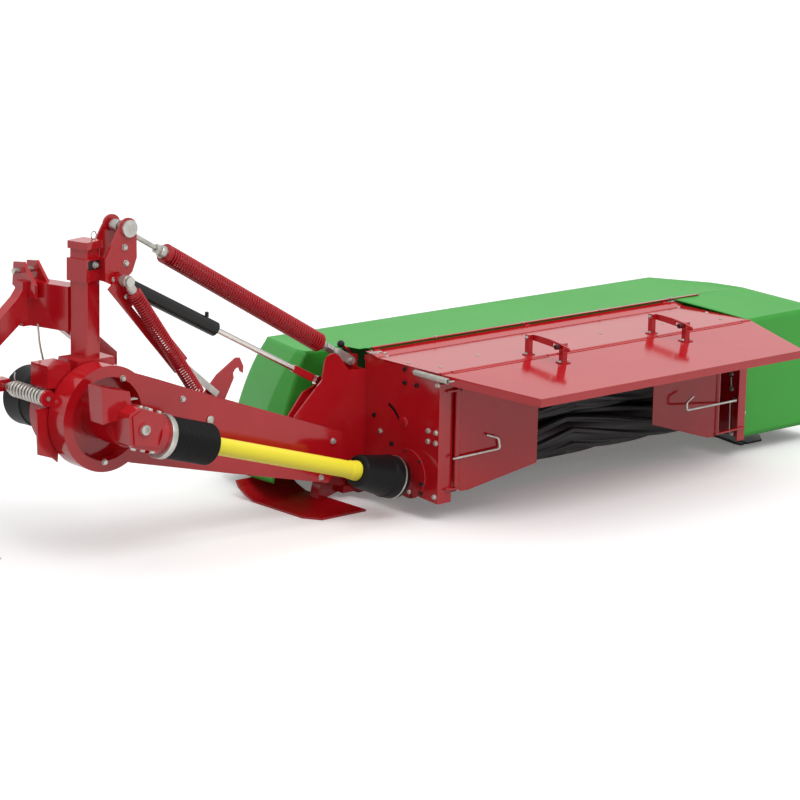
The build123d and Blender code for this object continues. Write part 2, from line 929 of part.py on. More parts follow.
# Canvas guard over the discs: a hood with sloping skirts, open below, hemmed on the rod
def hood_outline(grow, drop, rear):
    """Plan of the hood: grow moves it outwards, drop widens it as its skirts go down."""
    left = -guard_left_out - drop - grow
    right = bed_width + guard_side_out + drop + grow
    front = guard_front_top + drop * 1.5 + grow
    corner_x = guard_chamfer_x + drop * 0.4
    return [
        (left, rear),
        (right, rear),
        (right, front - guard_chamfer_y),
        (right - corner_x, front),
        (left + corner_x, front),
        (left, front - guard_chamfer_y),
    ]


def hood_loft(grow, rear, top_rear, top_front, bottom, mode):
    """Straight-sided loft between the plan at the skirts' foot and the one at the top."""
    slope_plane = Plane(
        origin=on_bed(0, guard_seam, top_rear),
        x_dir=(1, 0, 0),
        z_dir=(0, top_rear - top_front, guard_front_top - guard_seam),
    )
    with BuildSketch(bed_level(bottom)) as foot:
        with BuildLine():
            Polyline(*hood_outline(grow, guard_flare, rear), close=True)
        make_face()
    with BuildSketch(slope_plane) as crown:
        with BuildLine():
            Polyline(*[(x, y - guard_seam) for x, y in hood_outline(grow, 0, rear)], close=True)
        make_face()
    loft([foot.sketch.faces()[0], crown.sketch.faces()[0]], ruled=True, mode=mode)


hem_places = [(a + lug_width / 2 + side_gap, b - lug_width / 2 - side_gap) for a, b in zip(lug_places, lug_places[1:])]
with BuildPart() as canvas_hood:
    hood_loft(0, guard_seam, guard_top_rear, guard_top_front, guard_bottom, Mode.ADD)
    hood_loft(-guard_wall, guard_seam - 40, guard_top_rear - guard_wall, guard_top_front - guard_wall, guard_bottom - 1, Mode.SUBTRACT)
    with BuildSketch(bed_level(guard_bottom - 2)):
        with Locations(((tower_notch - 600) / 2, guard_seam - 1 + notch_depth / 2)):
            Rectangle(-tower_notch + 600, notch_depth)
    extrude(amount=700, mode=Mode.SUBTRACT)
    for left, right in hem_places:
        rod(on_bed(left, guard_rod_y, guard_rod_z), on_bed(right, guard_rod_y, guard_rod_z), guard_hem_radius)
        with BuildSketch(bed_across(left)):
            with BuildLine():
                Polyline(
                    (guard_rod_y, guard_rod_z - 6),
                    (guard_rod_y, guard_rod_z + 4),
                    (guard_seam + 6, guard_top_rear - 1),
                    (guard_seam + 6, guard_top_rear - guard_wall),
                    close=True,
                )
            make_face()
        extrude(amount=right - left)
        rod(
            on_bed(left - 1, guard_rod_y, guard_rod_z),
            on_bed(right + 1, guard_rod_y, guard_rod_z),
            guard_rod_radius + running_gap,
            mode=Mode.SUBTRACT,
        )
save(canvas_hood, "canvas_hood")

# Fixed canvas wing outside the right side plate
wing_front = guard_seam - guard_seam_gap
wing_right = bed_width + guard_side_out
with BuildPart() as canvas_wing:
    with BuildSketch(bed_level(guard_bottom)):
        with BuildLine():
            Polyline(
                (bed_width, wing_rear),
                (wing_right + guard_flare, wing_rear),
                (wing_right + guard_flare, wing_front),
                (bed_width, wing_front),
                close=True,
            )
        make_face()
    with BuildSketch(bed_level(panel_top)):
        with BuildLine():
            Polyline(
                (bed_width, wing_rear),
                (wing_right, wing_rear),
                (wing_right, wing_front),
                (bed_width, wing_front),
                close=True,
            )
        make_face()
    loft(ruled=True)
    with BuildSketch(bed_level(guard_bottom - 1)):
        with BuildLine():
            Polyline(
                (bed_width + guard_wall, wing_rear + guard_wall),
                (wing_right + guard_flare - guard_wall, wing_rear + guard_wall),
                (wing_right + guard_flare - guard_wall, wing_front + 1),
                (bed_width + guard_wall, wing_front + 1),
                close=True,
            )
        make_face()
    with BuildSketch(bed_level(panel_top - guard_wall)):
        with BuildLine():
            Polyline(
                (bed_width + guard_wall, wing_rear + guard_wall),
                (wing_right - guard_wall, wing_rear + guard_wall),
                (wing_right - guard_wall, wing_front + 1),
                (bed_width + guard_wall, wing_front + 1),
                close=True,
            )
        make_face()
    loft(ruled=True, mode=Mode.SUBTRACT)
save(canvas_wing, "canvas_wing")

# Boom casing: two flat sides on a strip all round, with a pocket on top for spring and stop link
boom_front = boom_rear + boom_depth
boom_outline = [
    (82, pivot_z + boom_end_radius - 2),
    (353, 157),
    (688, 30),
    (1155, -138),
    (1409, -231),
    (1412, -365),
    (1329, -463),
    (777, -334),
    (190, -192),
]
with BuildPart() as boom:
    with BuildSketch(hitch_along(boom_front)):
        with BuildLine():
            Polyline(*boom_outline, close=True)
        make_face()
        with Locations((pivot_x, pivot_z)):
            Circle(boom_end_radius)
    extrude(amount=boom_depth)
    with BuildSketch(hitch_along(boom_front - boom_wall)):
        with BuildLine():
            Polyline(
                (330, 152),
                (688, 20),
                (1150, -146),
                (1150, -412),
                (777, -325),
                (330, -220),
                close=True,
            )
        make_face()
    extrude(amount=boom_depth - 2 * boom_wall, mode=Mode.SUBTRACT)
    with BuildSketch(hitch_along(boom_front - boom_wall)):
        with Locations((640, 60)):
            Rectangle(430, 320)
    extrude(amount=boom_depth - 2 * boom_wall, mode=Mode.SUBTRACT)
    with BuildSketch(hitch_along(boom_rear)):
        with Locations((pivot_x, pivot_z)):
            Circle(boom_dish_radius)
    extrude(amount=-boom_dish_depth, mode=Mode.SUBTRACT)
    with BuildSketch(hitch_along(boom_front + turret_gap + turret_depth + turret_gap)):
        with Locations((pivot_x, pivot_z)):
            Circle(journal_outer)
    extrude(amount=turret_depth + 2 * turret_gap)
    with BuildSketch(hitch_along(boom_front + 400)):
        with Locations((pivot_x, pivot_z)):
            Circle(journal_bore)
    extrude(amount=520, mode=Mode.SUBTRACT)
    rod(
        on_boom(bed_offset + fold_x, boom_front, floor_z + fold_z),
        on_boom(bed_offset + fold_x, tower_front_plate + tower_sheet + 14, floor_z + fold_z),
        fold_pin_radius,
    )
save(boom, "boom")

# Gearbox of the boom, on the pivot's axis behind the casing, with its output neck
out_way = Vector(cos(shaft_tilt), 0, sin(shaft_tilt))


def shaft_point(distance):
    """Point on the drive shaft's axis, a distance past its upper joint."""
    return (
        shaft_start_x + distance * out_way.X,
        bed_rear + shaft_y,
        shaft_start_z + distance * out_way.Z,
    )


with BuildPart() as boom_gearbox:
    gearbox_front = boom_rear + boom_dish_depth
    rod(on_boom(pivot_x, gearbox_front, pivot_z), on_boom(pivot_x, 240, pivot_z), 96)
    with BuildSketch(hitch_along(262)):
        with BuildLine():
            Polyline(
                (-8, 100),
                (45, 123),
                (178, 74),
                (188, 44),
                (184, 0),
                (156, -74),
                (140, -84),
                (14, -50),
                (-2, -36),
                (-14, 84),
                close=True,
            )
        make_face()
    extrude(amount=130)
    with BuildSketch(hitch_along(140)):
        with BuildLine():
            Polyline((6, 88), (47, 108), (166, 64), (170, 4), (144, -66), (16, -36), close=True)
        make_face()
    extrude(amount=14)
    with BuildSketch(hitch_along(300)):
        with BuildLine():
            Polyline((-102, 218), (50, 179), (66, 70), (-92, 55), close=True)
        make_face()
    extrude(amount=92)
    rod(shaft_point(-125), shaft_point(-40), 66)
    rod(shaft_point(-46), shaft_point(34), 84)
    rod(shaft_point(-38), shaft_point(35), 72, mode=Mode.SUBTRACT)
    rod(
        on_boom(shaft_start_x, shaft_y - 74, shaft_start_z),
        on_boom(shaft_start_x, shaft_y + 74, shaft_start_z),
        joint_pin_radius,
    )
save(boom_gearbox, "boom_gearbox")


def bellows(builder_start, builder_end, ribs, radius, open_end):
    """Ribbed guard turned about the line between two points, hollow and open at both ends."""
    axis_plane = aimed(builder_start, builder_end)
    length = (Vector(*builder_end) - Vector(*builder_start)).length
    profile_plane = Plane(origin=builder_start, x_dir=axis_plane.x_dir, z_dir=axis_plane.y_dir)
    pitch = length / ribs
    outer = []
    for rib in range(ribs):
        outer.append((radius - guard_rib, -rib * pitch))
        outer.append((radius, -(rib + 0.5) * pitch))
    outer.append((open_end, -length))
    inner = [(x - guard_shell, y) for x, y in reversed(outer)]
    with BuildSketch(profile_plane) as profile:
        with BuildLine():
            Polyline(*outer, *inner, close=True)
        make_face()
    revolve(profile.sketch, axis=Axis(builder_start, axis_plane.z_dir))


with BuildPart() as guard_inner:
    bellows(shaft_point(34), shaft_point(320), 7, guard_radius - 6, guard_radius - 20)
    rod(shaft_point(34), shaft_point(40), guard_radius - 20)
    rod(shaft_point(33), shaft_point(41), 62, mode=Mode.SUBTRACT)
save(guard_inner, "guard_inner")

shaft_length = hypot(shaft_end_x - shaft_start_x, shaft_end_z - shaft_start_z)
outer_tube_end = shaft_length - 175
with BuildPart() as shaft_tube:
    rod(shaft_point(70), shaft_point(outer_tube_end), tube_radius)
    rod(shaft_point(90), shaft_point(outer_tube_end + 1), tube_radius - tube_wall, mode=Mode.SUBTRACT)
    rod(
        shaft_point(outer_tube_end - 24),
        shaft_point(outer_tube_end),
        tube_radius - 1,
    )
    rod(
        shaft_point(outer_tube_end - 25),
        shaft_point(outer_tube_end + 1),
        inner_tube_radius + running_gap,
        mode=Mode.SUBTRACT,
    )
    rod(shaft_point(0), shaft_point(72), 20)
    rod(
        on_boom(shaft_start_x, shaft_y - 28, shaft_start_z),
        on_boom(shaft_start_x, shaft_y + 28, shaft_start_z),
        24,
    )
    rod(
        on_boom(shaft_start_x, shaft_y - 30, shaft_start_z),
        on_boom(shaft_start_x, shaft_y + 30, shaft_start_z),
        joint_pin_radius + running_gap,
        mode=Mode.SUBTRACT,
    )
save(shaft_tube, "shaft_tube")

with BuildPart() as shaft_inner_tube:
    rod(shaft_point(shaft_length - 520), shaft_point(shaft_length - 34), inner_tube_radius)
    rod(shaft_point(shaft_length - 521), shaft_point(shaft_length - 120), inner_tube_radius - 5, mode=Mode.SUBTRACT)
save(shaft_inner_tube, "shaft_inner_tube")

# Outer guard: ribbed sleeve round the lower joint, its open edge rounded about that joint
with BuildPart() as guard_outer:
    mouth = aimed(shaft_point(shaft_length - 165), shaft_point(shaft_length))
    turned = Plane(origin=shaft_point(shaft_length), x_dir=mouth.x_dir, z_dir=mouth.y_dir)
    sleeve = 165
    ring = guard_radius - 4
    with BuildSketch(turned):
        with BuildLine():
            Polyline(
                (inner_tube_radius, sleeve - 46),
                (tube_radius + 8, sleeve - 46),
                (tube_radius + 8, sleeve),
                (ring - 12, sleeve),
                (ring, sleeve - 14),
                (ring - 9, sleeve - 28),
                (ring, sleeve - 42),
                (ring - 9, sleeve - 56),
                (ring, sleeve - 70),
                (ring - 9, sleeve - 84),
                (ring, sleeve - 98),
                (ring, 0),
                (ring * cos(radians(22)), -ring * sin(radians(22))),
                (ring * cos(radians(22)) - guard_shell, -ring * sin(radians(22)) + 2),
                (ring - guard_shell, 0),
                (ring - guard_shell, sleeve - 98),
                (inner_tube_radius + 20, sleeve - 102),
                (inner_tube_radius, sleeve - 102),
                close=True,
            )
        make_face()
    revolve(axis=Axis(shaft_point(shaft_length), mouth.z_dir))
save(guard_outer, "guard_outer")

# Lock hook that holds the folded bed, a plate on the boom's top edge
with BuildPart() as lock_hook:
    with BuildSketch(hitch_along(boom_front)):
        with BuildLine():
            Polyline(
                (680, 30 + 8 * 127 / 335),
                (755, 108),
                (862, 172),
                (884, 170),
                (905, 128),
                (903, 96),
                (888, 104),
                (878, 128),
                (858, 120),
                (846, 104),
                (850, 80),
                (801, 30 - 113 * 168 / 467),
                (688, 30),
                close=True,
            )
        make_face()
    extrude(amount=boom_wall)
save(lock_hook, "lock_hook")

# Hitch turret: drum that carries the boom's journal and the mast
turret_rear = boom_front + turret_gap
turret_front = turret_rear + turret_depth
with BuildPart() as turret:
    with BuildSketch(hitch_along(turret_front)):
        with Locations((pivot_x, pivot_z)):
            Circle(turret_radius)
        with Locations((pivot_x, pivot_z)):
            Circle(journal_outer + running_gap, mode=Mode.SUBTRACT)
    extrude(amount=turret_depth)
    with BuildSketch(hitch_along(turret_front + 26)):
        with Locations((pivot_x, pivot_z)):
            Circle(150)
            Circle(pto_radius + running_gap, mode=Mode.SUBTRACT)
    extrude(amount=14)
    with BuildSketch(hitch_along(turret_front + 14)):
        with Locations((pivot_x, pivot_z)):
            Circle(150)
            Circle(130, mode=Mode.SUBTRACT)
    extrude(amount=16)
    with BuildSketch(hitch_along(660)):
        with BuildLine():
            Polyline((-14, 180), (0, mast_bottom), (193, mast_bottom), (209, 160), close=True)
        make_face()
        with Locations((pivot_x, pivot_z)):
            Circle(turret_radius - 20, mode=Mode.SUBTRACT)
    extrude(amount=660 - turret_rear)
    with BuildSketch(hitch_along(640)):
        with Locations((-100, 212)):
            Rectangle(120, 100)
        with Locations((pivot_x, pivot_z)):
            Circle(turret_radius - 20, mode=Mode.SUBTRACT)
    extrude(amount=640 - turret_rear)
    with BuildSketch(hitch_along(turret_rear + 12)):
        with BuildLine():
            Polyline(
                (-122, 170),
                (-122, 80),
                (-218, 80),
                (-209, -122),
                (-136, -147),
                (-110, -169),
                (-90, 82),
                (-90, 170),
                close=True,
            )
        make_face()
    extrude(amount=12)
save(turret, "turret")

# Power input: stub shaft in the turret's nose and the bell guard round it
with BuildPart() as pto_shaft:
    rod(on_boom(pivot_x, turret_front - 40, pivot_z), (pivot_x, pto_front, pivot_z), pto_radius)
    with BuildSketch(hitch_along(pto_front - bed_rear)):
        with Locations((pivot_x, pivot_z)):
            with PolarLocations(pto_radius, 6):
                Rectangle(6, 8)
    extrude(amount=pto_spline_length, mode=Mode.SUBTRACT)
    rod(on_boom(pivot_x, turret_front + 40, pivot_z), on_boom(pivot_x, turret_front + 60, pivot_z), 30)
save(pto_shaft, "pto_shaft")

bell_start = turret_front + 26
with BuildPart() as bell_guard:
    bell_plane = Plane(origin=on_boom(pivot_x, bell_start, pivot_z), x_dir=(1, 0, 0), z_dir=(0, 0, 1))
    with BuildSketch(bell_plane):
        with BuildLine():
            Polyline(
                (96, 0),
                (104, 90),
                (bell_radius - 8, 150),
                (bell_radius, bell_length),
                (bell_radius - bell_wall, bell_length),
                (bell_radius - 8 - bell_wall, 152),
                (104 - bell_wall, 92),
                (96 - bell_wall, 0),
                close=True,
            )
        make_face()
    revolve(axis=Axis(on_boom(pivot_x, bell_start, pivot_z), (0, 1, 0)))
save(bell_guard, "bell_guard")

# Mast: square tube with a cap
with BuildPart() as mast:
    mast_plane = Plane(origin=on_boom(mast_x, mast_y, mast_bottom), x_dir=(cos(radians(mast_turn)), sin(radians(mast_turn)), 0), z_dir=(0, 0, 1))
    with BuildSketch(mast_plane):
        RectangleRounded(mast_size, mast_size, 9)
        Rectangle(mast_size - 20, mast_size - 20, mode=Mode.SUBTRACT)
    extrude(amount=mast_top - mast_bottom)
    with BuildSketch(mast_plane.offset(mast_top - mast_bottom)):
        RectangleRounded(cap_size, cap_size, 9)
    extrude(amount=cap_height)
save(mast, "mast")

# Bracket on the mast: two ears with the long spring's pin above and the common pin below
ear_points = [
    (top_pin_x + 44, top_pin_z + 4),
    (top_pin_x + 46, 690),
    (top_pin_x + 22, 630),
    (low_pin_x + 20, 584),
    (low_pin_x - 30, 580),
    (mast_x + 40, 600),
    (mast_x + 40, 700),
    (top_pin_x - 48, top_pin_z + 6),
]
with BuildPart() as mast_bracket:
    for ear_y in (ear_rear, ear_front):
        with BuildSketch(hitch_along(ear_y + ear_sheet)):
            with BuildLine():
                Polyline(*ear_points, close=True)
            make_face()
            with Locations((top_pin_x, top_pin_z)):
                Circle(46)
            with Locations((top_pin_x, top_pin_z)):
                Circle(top_pin_radius, mode=Mode.SUBTRACT)
            with Locations((low_pin_x, low_pin_z)):
                Circle(low_pin_radius, mode=Mode.SUBTRACT)
        extrude(amount=ear_sheet)
    collar = Plane(origin=on_boom(mast_x, mast_y, 600), x_dir=(cos(radians(mast_turn)), sin(radians(mast_turn)), 0), z_dir=(0, 0, 1))
    with BuildSketch(hitch_along(ear_front)):
        with Locations((146, 650)):
            Rectangle(20, 100)
    extrude(amount=ear_front - ear_rear - ear_sheet)
    with BuildSketch(collar):
        Rectangle(cap_size, cap_size)
    extrude(amount=100)
    with BuildSketch(collar.offset(-60)):
        RectangleRounded(mast_size, mast_size, 9)
    extrude(amount=240, mode=Mode.SUBTRACT)
save(mast_bracket, "mast_bracket")

with BuildPart() as top_spring_pin:
    rod(on_boom(top_pin_x, ear_rear - 16, top_pin_z), on_boom(top_pin_x, ear_front + 30, top_pin_z), top_pin_radius)
    rod(on_boom(top_pin_x, ear_rear - 16, top_pin_z), on_boom(top_pin_x, ear_rear, top_pin_z), 38)
save(top_spring_pin, "top_spring_pin")

with BuildPart() as common_pin:
    rod(on_boom(low_pin_x, short_spring_y - 34, low_pin_z), on_boom(low_pin_x, ear_front + 26, low_pin_z), low_pin_radius)
    rod(on_boom(low_pin_x, short_spring_y - 34, low_pin_z), on_boom(low_pin_x, short_spring_y - 22, low_pin_z), 22)
save(common_pin, "common_pin")


def coil(start, end, turns, radius, wire, bore):
    """Close-wound spring as one ribbed sleeve, turned about the line between two points."""
    axis_plane = aimed(start, end)
    length = (Vector(*end) - Vector(*start)).length
    profile_plane = Plane(origin=start, x_dir=axis_plane.x_dir, z_dir=axis_plane.y_dir)
    pitch = length / turns
    outer = []
    for turn in range(turns):
        outer.append((radius - wire * 0.55, -turn * pitch))
        outer.append((radius, -(turn + 0.5) * pitch))
    outer.append((radius - wire * 0.55, -length))
    with BuildSketch(profile_plane) as profile:
        with BuildLine():
            Polyline(*outer, (bore, -length), (bore, 0), close=True)
        make_face()
    revolve(profile.sketch, axis=Axis(start, axis_plane.z_dir))


def between(start, end, distance):
    """Point a distance from one point towards another."""
    way = (Vector(*end) - Vector(*start)).normalized()
    point = Vector(*start) + way * distance
    return (point.X, point.Y, point.Z)


# Long spring from the mast to the tower: coil and upper rod turn on the top pin
spring_top = on_boom(top_pin_x, long_spring_y, top_pin_z)
spring_low = on_bed(spring_pin_x, long_spring_y, spring_pin_z)
spring_length = (Vector(*spring_low) - Vector(*spring_top)).length
coil_start = 300
coil_end = spring_length - 215
plug_end = coil_start + 20
with BuildPart() as long_spring:
    coil(
        between(spring_top, spring_low, coil_start),
        between(spring_top, spring_low, coil_end),
        40,
        long_spring_radius,
        long_spring_wire,
        spring_bore,
    )
save(long_spring, "long_spring")

with BuildPart() as spring_head:
    rod(between(spring_top, spring_low, 20), between(spring_top, spring_low, plug_end), 12)
    rod(between(spring_top, spring_low, coil_start - 34), between(spring_top, spring_low, coil_start), 30)
    rod(between(spring_top, spring_low, coil_start - 1), between(spring_top, spring_low, plug_end), spring_bore - 1)
    rod(
        on_boom(top_pin_x, long_spring_y - eye_width, top_pin_z),
        on_boom(top_pin_x, long_spring_y + eye_width, top_pin_z),
        28,
    )
    rod(
        on_boom(top_pin_x, long_spring_y - eye_width - 1, top_pin_z),
        on_boom(top_pin_x, long_spring_y + eye_width + 1, top_pin_z),
        top_pin_radius + running_gap,
        mode=Mode.SUBTRACT,
    )
save(spring_head, "spring_head")

# Lower rod of the long spring, which runs inside the coil, with its fork at the tower's lug
fork_gap = tower_sheet / 2 + 8
fork_arm = 9
piston_start = spring_length - 440
with BuildPart() as spring_rod:
    rod(between(spring_top, spring_low, piston_start), between(spring_top, spring_low, spring_length - 90), 12)
    rod(
        between(spring_top, spring_low, piston_start),
        between(spring_top, spring_low, piston_start + 30),
        spring_bore - 1,
    )
    rod(between(spring_top, spring_low, coil_end + 4), between(spring_top, spring_low, coil_end + 30), 24)
    bar(
        between(spring_top, spring_low, spring_length - 96),
        between(spring_top, spring_low, spring_length - 76),
        2 * (fork_gap + fork_arm),
        44,
    )
    for side in (-1, 1):
        arm_y = long_spring_y + side * (fork_gap + fork_arm / 2)
        arm_top = on_boom(top_pin_x, arm_y, top_pin_z)
        arm_low = on_bed(spring_pin_x, arm_y, spring_pin_z)
        bar(between(arm_top, arm_low, spring_length - 80), arm_low, fork_arm, 44)
        rod(
            on_bed(spring_pin_x, arm_y - fork_arm / 2, spring_pin_z),
            on_bed(spring_pin_x, arm_y + fork_arm / 2, spring_pin_z),
            22,
        )
        rod(
            on_bed(spring_pin_x, arm_y + side * fork_arm / 2, spring_pin_z),
            on_bed(spring_pin_x, arm_y + side * (fork_arm / 2 + 12), spring_pin_z),
            14,
        )
save(spring_rod, "spring_rod")

# Short spring and stop link, both hung on the common pin and running into the boom's pocket
short_top = on_boom(low_pin_x, short_spring_y, low_pin_z)
short_low = on_boom(588, short_spring_y, 71)
short_length = (Vector(*short_low) - Vector(*short_top)).length
with BuildPart() as short_spring:
    coil(between(short_top, short_low, 70), between(short_top, short_low, short_length + 20), 24, short_spring_radius, short_spring_wire, 12)
    rod(between(short_top, short_low, 20), between(short_top, short_low, 84), 21)
    rod(on_boom(low_pin_x, short_spring_y - 20, low_pin_z), on_boom(low_pin_x, short_spring_y + 20, low_pin_z), 26)
    rod(
        on_boom(low_pin_x, short_spring_y - 21, low_pin_z),
        on_boom(low_pin_x, short_spring_y + 21, low_pin_z),
        low_pin_radius + running_gap,
        mode=Mode.SUBTRACT,
    )
save(short_spring, "short_spring")

link_start = on_boom(173, link_y, 598)
link_knee = on_boom(540, link_y, 180)
with BuildPart() as stop_link:
    bar(link_start, link_knee, link_sheet, link_width)
    rod(on_boom(low_pin_x, link_y - link_sheet / 2, low_pin_z), on_boom(low_pin_x, link_y + link_sheet / 2, low_pin_z), 30)
    bar(between(link_start, link_knee, 150), between(link_start, link_knee, 460), link_sheet + 4, 18, mode=Mode.SUBTRACT)
    rod(
        on_boom(low_pin_x, link_y - link_sheet, low_pin_z),
        on_boom(low_pin_x, link_y + link_sheet, low_pin_z),
        low_pin_radius + running_gap,
        mode=Mode.SUBTRACT,
    )
save(stop_link, "stop_link")

with BuildPart() as stop_link_bar:
    bar(on_boom(536, link_y - link_sheet, 192), on_boom(740, link_y - link_sheet, 23), link_sheet, link_bar_width)
save(stop_link_bar, "stop_link_bar")

# Lift cylinder: barrel on the common pin, rod with its eye between the tower's plates
cyl_top = on_boom(low_pin_x, cylinder_y, low_pin_z)
cyl_low = on_bed(cylinder_eye_x, cylinder_y, cylinder_eye_z)
cyl_length = (Vector(*cyl_low) - Vector(*cyl_top)).length
barrel_length = 645
with BuildPart() as cylinder_barrel:
    rod(between(cyl_top, cyl_low, 40), between(cyl_top, cyl_low, barrel_length), barrel_radius)
    rod(between(cyl_top, cyl_low, 48), between(cyl_top, cyl_low, barrel_length - 14), barrel_radius - 7, mode=Mode.SUBTRACT)
    rod(between(cyl_top, cyl_low, barrel_length - 15), between(cyl_top, cyl_low, barrel_length + 1), rod_radius + 0.3, mode=Mode.SUBTRACT)
    rod(on_boom(low_pin_x, cylinder_y - eye_width, low_pin_z), on_boom(low_pin_x, cylinder_y + eye_width, low_pin_z), 28)
    bar(between(cyl_top, cyl_low, 10), between(cyl_top, cyl_low, 44), 2 * eye_width, 40)
    rod(
        on_boom(low_pin_x, cylinder_y - eye_width - 1, low_pin_z),
        on_boom(low_pin_x, cylinder_y + eye_width + 1, low_pin_z),
        low_pin_radius + running_gap,
        mode=Mode.SUBTRACT,
    )
    port = between(cyl_top, cyl_low, barrel_length - 50)
    rod((port[0], port[1], port[2] + barrel_radius + 3), (port[0], port[1], port[2] + barrel_radius + 26), 9)
save(cylinder_barrel, "cylinder_barrel")

with BuildPart() as cylinder_rod:
    rod(between(cyl_top, cyl_low, barrel_length - 86), between(cyl_top, cyl_low, cyl_length - 165), rod_radius)
    rod(between(cyl_top, cyl_low, barrel_length - 86), between(cyl_top, cyl_low, barrel_length - 72), barrel_radius - 8)
    bar(between(cyl_top, cyl_low, cyl_length - 174), between(cyl_top, cyl_low, cyl_length - 10), 24, 30)
    rod(
        on_bed(cylinder_eye_x, cylinder_y - eye_width / 2, cylinder_eye_z),
        on_bed(cylinder_eye_x, cylinder_y + eye_width / 2, cylinder_eye_z),
        26,
    )
save(cylinder_rod, "cylinder_rod")

# Hitch frame: skewed box beam from the mast to the top link, with legs to the lower link pins
with BuildPart() as hitch_frame:
    beam_z = (hitch_beam_top + hitch_beam_bottom) / 2
    bar((mast_x - 22, bed_rear + mast_y + mast_size / 2, beam_z), (6, 0, beam_z), hitch_beam_width, hitch_beam_top - hitch_beam_bottom)
    with BuildSketch(Plane(origin=(0, 0, 0), x_dir=(1, 0, 0), z_dir=(0, -1, 0))):
        with BuildLine():
            Polyline(
                (-60, 540),
                (-60, 400),
                (-lower_pin_spread + 40, leg_knee_z - 30),
                (-lower_pin_spread + 40, -42),
                (-lower_pin_spread - 32, -42),
                (-lower_pin_spread - 32, leg_knee_z + 10),
                (-90, 500),
                close=True,
            )
        make_face()
        with BuildLine():
            Polyline(
                (60, 540),
                (60, 400),
                (lower_pin_spread - 40, leg_knee_z - 30),
                (lower_pin_spread - 40, -42),
                (lower_pin_spread + 32, -42),
                (lower_pin_spread + 32, leg_knee_z + 10),
                (90, 500),
                close=True,
            )
        make_face()
        with Locations((0, (hitch_beam_top + hitch_beam_bottom) / 2)):
            Rectangle(130, hitch_beam_top - hitch_beam_bottom)
        for side in (-1, 1):
            with Locations((side * lower_pin_spread, 0)):
                Circle(lower_pin_radius, mode=Mode.SUBTRACT)
    extrude(amount=frame_depth)
    for side in (-1, 1):
        inner = side * top_link_gap / 2
        with BuildSketch(Plane(origin=(inner, 0, 0), x_dir=(0, 1, 0), z_dir=(side, 0, 0))):
            flip = 1 if side > 0 else 1
            with BuildLine():
                Polyline(
                    (-frame_depth, side * 500),
                    (52, side * 540),
                    (42, side * (top_link_z + 34)),
                    (-30, side * (top_link_z + 42)),
                    (-120, side * 560),
                    (-120, side * 500),
                    close=True,
                )
            make_face()
            with Locations((0, side * top_link_z)):
                Circle(top_link_radius + running_gap, mode=Mode.SUBTRACT)
        extrude(amount=15)
    bar((-lower_pin_spread + 10, -frame_depth / 2, break_z), (break_x + 30, -frame_depth / 2, break_z), frame_depth, 52)
    bar((stand_x, stand_y, -110), (stand_x, stand_y, 120), stand_sleeve, stand_sleeve)
    bar((stand_x, stand_y, -111), (stand_x, stand_y, 121), stand_tube + 0.6, stand_tube + 0.6, mode=Mode.SUBTRACT)
    bar((stand_x - stand_sleeve / 2 - 12, -frame_depth - 4, 30), (stand_x - stand_sleeve / 2 - 12, -frame_depth - 4, 110), 36, 26)
save(hitch_frame, "hitch_frame")

# Pins of the three-point hitch
for side, label in ((-1, "lower_pin_left"), (1, "lower_pin_right")):
    with BuildPart() as lower_pin:
        rod((side * lower_pin_spread, -frame_depth - 8, 0), (side * lower_pin_spread, lower_pin_length, 0), lower_pin_radius)
        rod((side * lower_pin_spread, 0, 0), (side * lower_pin_spread, 12, 0), 26)
    save(lower_pin, label)

with BuildPart() as top_link_pin:
    rod((-74, 0, top_link_z), (64, 0, top_link_z), top_link_radius)
    rod((50, 0, top_link_z), (64, 0, top_link_z), 20)
save(top_link_pin, "top_link_pin")

# Breakaway spring between the turret and the left leg
break_rear = on_boom(break_x, break_rear_y, break_z)
break_end = on_boom(break_x, break_coil_end, break_z)
break_front = (break_x, -frame_depth, break_z)
with BuildPart() as breakaway_spring:
    rod(on_boom(break_x, break_rear_y - 14, break_z), break_front, 10)
    rod(on_boom(break_x, break_rear_y - 10, break_z), break_rear, 15)
    coil(break_rear, break_end, 12, 36, 15, 9)
    rod(break_end, on_boom(break_x, break_coil_end + 16, break_z), 24)
    rod(on_boom(break_x, break_rear_y + 5, break_z), on_boom(-122, break_rear_y + 5, break_z), 5)
save(breakaway_spring, "breakaway_spring")

# Parking stand: tube that slides in its sleeve on the left leg
with BuildPart() as parking_stand:
    bar((stand_x, stand_y, floor_z + stand_sheet), (stand_x, stand_y, 150), stand_tube, stand_tube)
    bar((stand_x, stand_y, floor_z + stand_sheet + 20), (stand_x, stand_y, 151), stand_tube - 8, stand_tube - 8, mode=Mode.SUBTRACT)
    bar((stand_x, stand_y, floor_z), (stand_x, stand_y, floor_z + stand_sheet), stand_foot, stand_foot)
save(parking_stand, "parking_stand")

# Tube for papers, clipped on the left leg
with BuildPart() as paper_tube:
    rod((-345, -30, 345), (-345, -30, 500), 42)
    with BuildSketch(Plane(origin=(0, -18, 0), x_dir=(1, 0, 0), z_dir=(0, -1, 0))):
        with BuildLine():
            Polyline(
                (-357, 500 - 267 * 305 / 354.5),
                (-333, 500 - 243 * 305 / 354.5),
                (-333, 350),
                (-357, 350),
                close=True,
            )
        make_face()
    extrude(amount=24)
save(paper_tube, "paper_tube")
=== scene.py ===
"""Looks of a rear-mounted disc mower with a rubber roller conditioner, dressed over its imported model."""

import logging
import math
from dataclasses import dataclass, field
from enum import Enum
from typing import Any, Sequence

import bmesh
import bpy
import numpy as np
from mathutils import Matrix, Vector

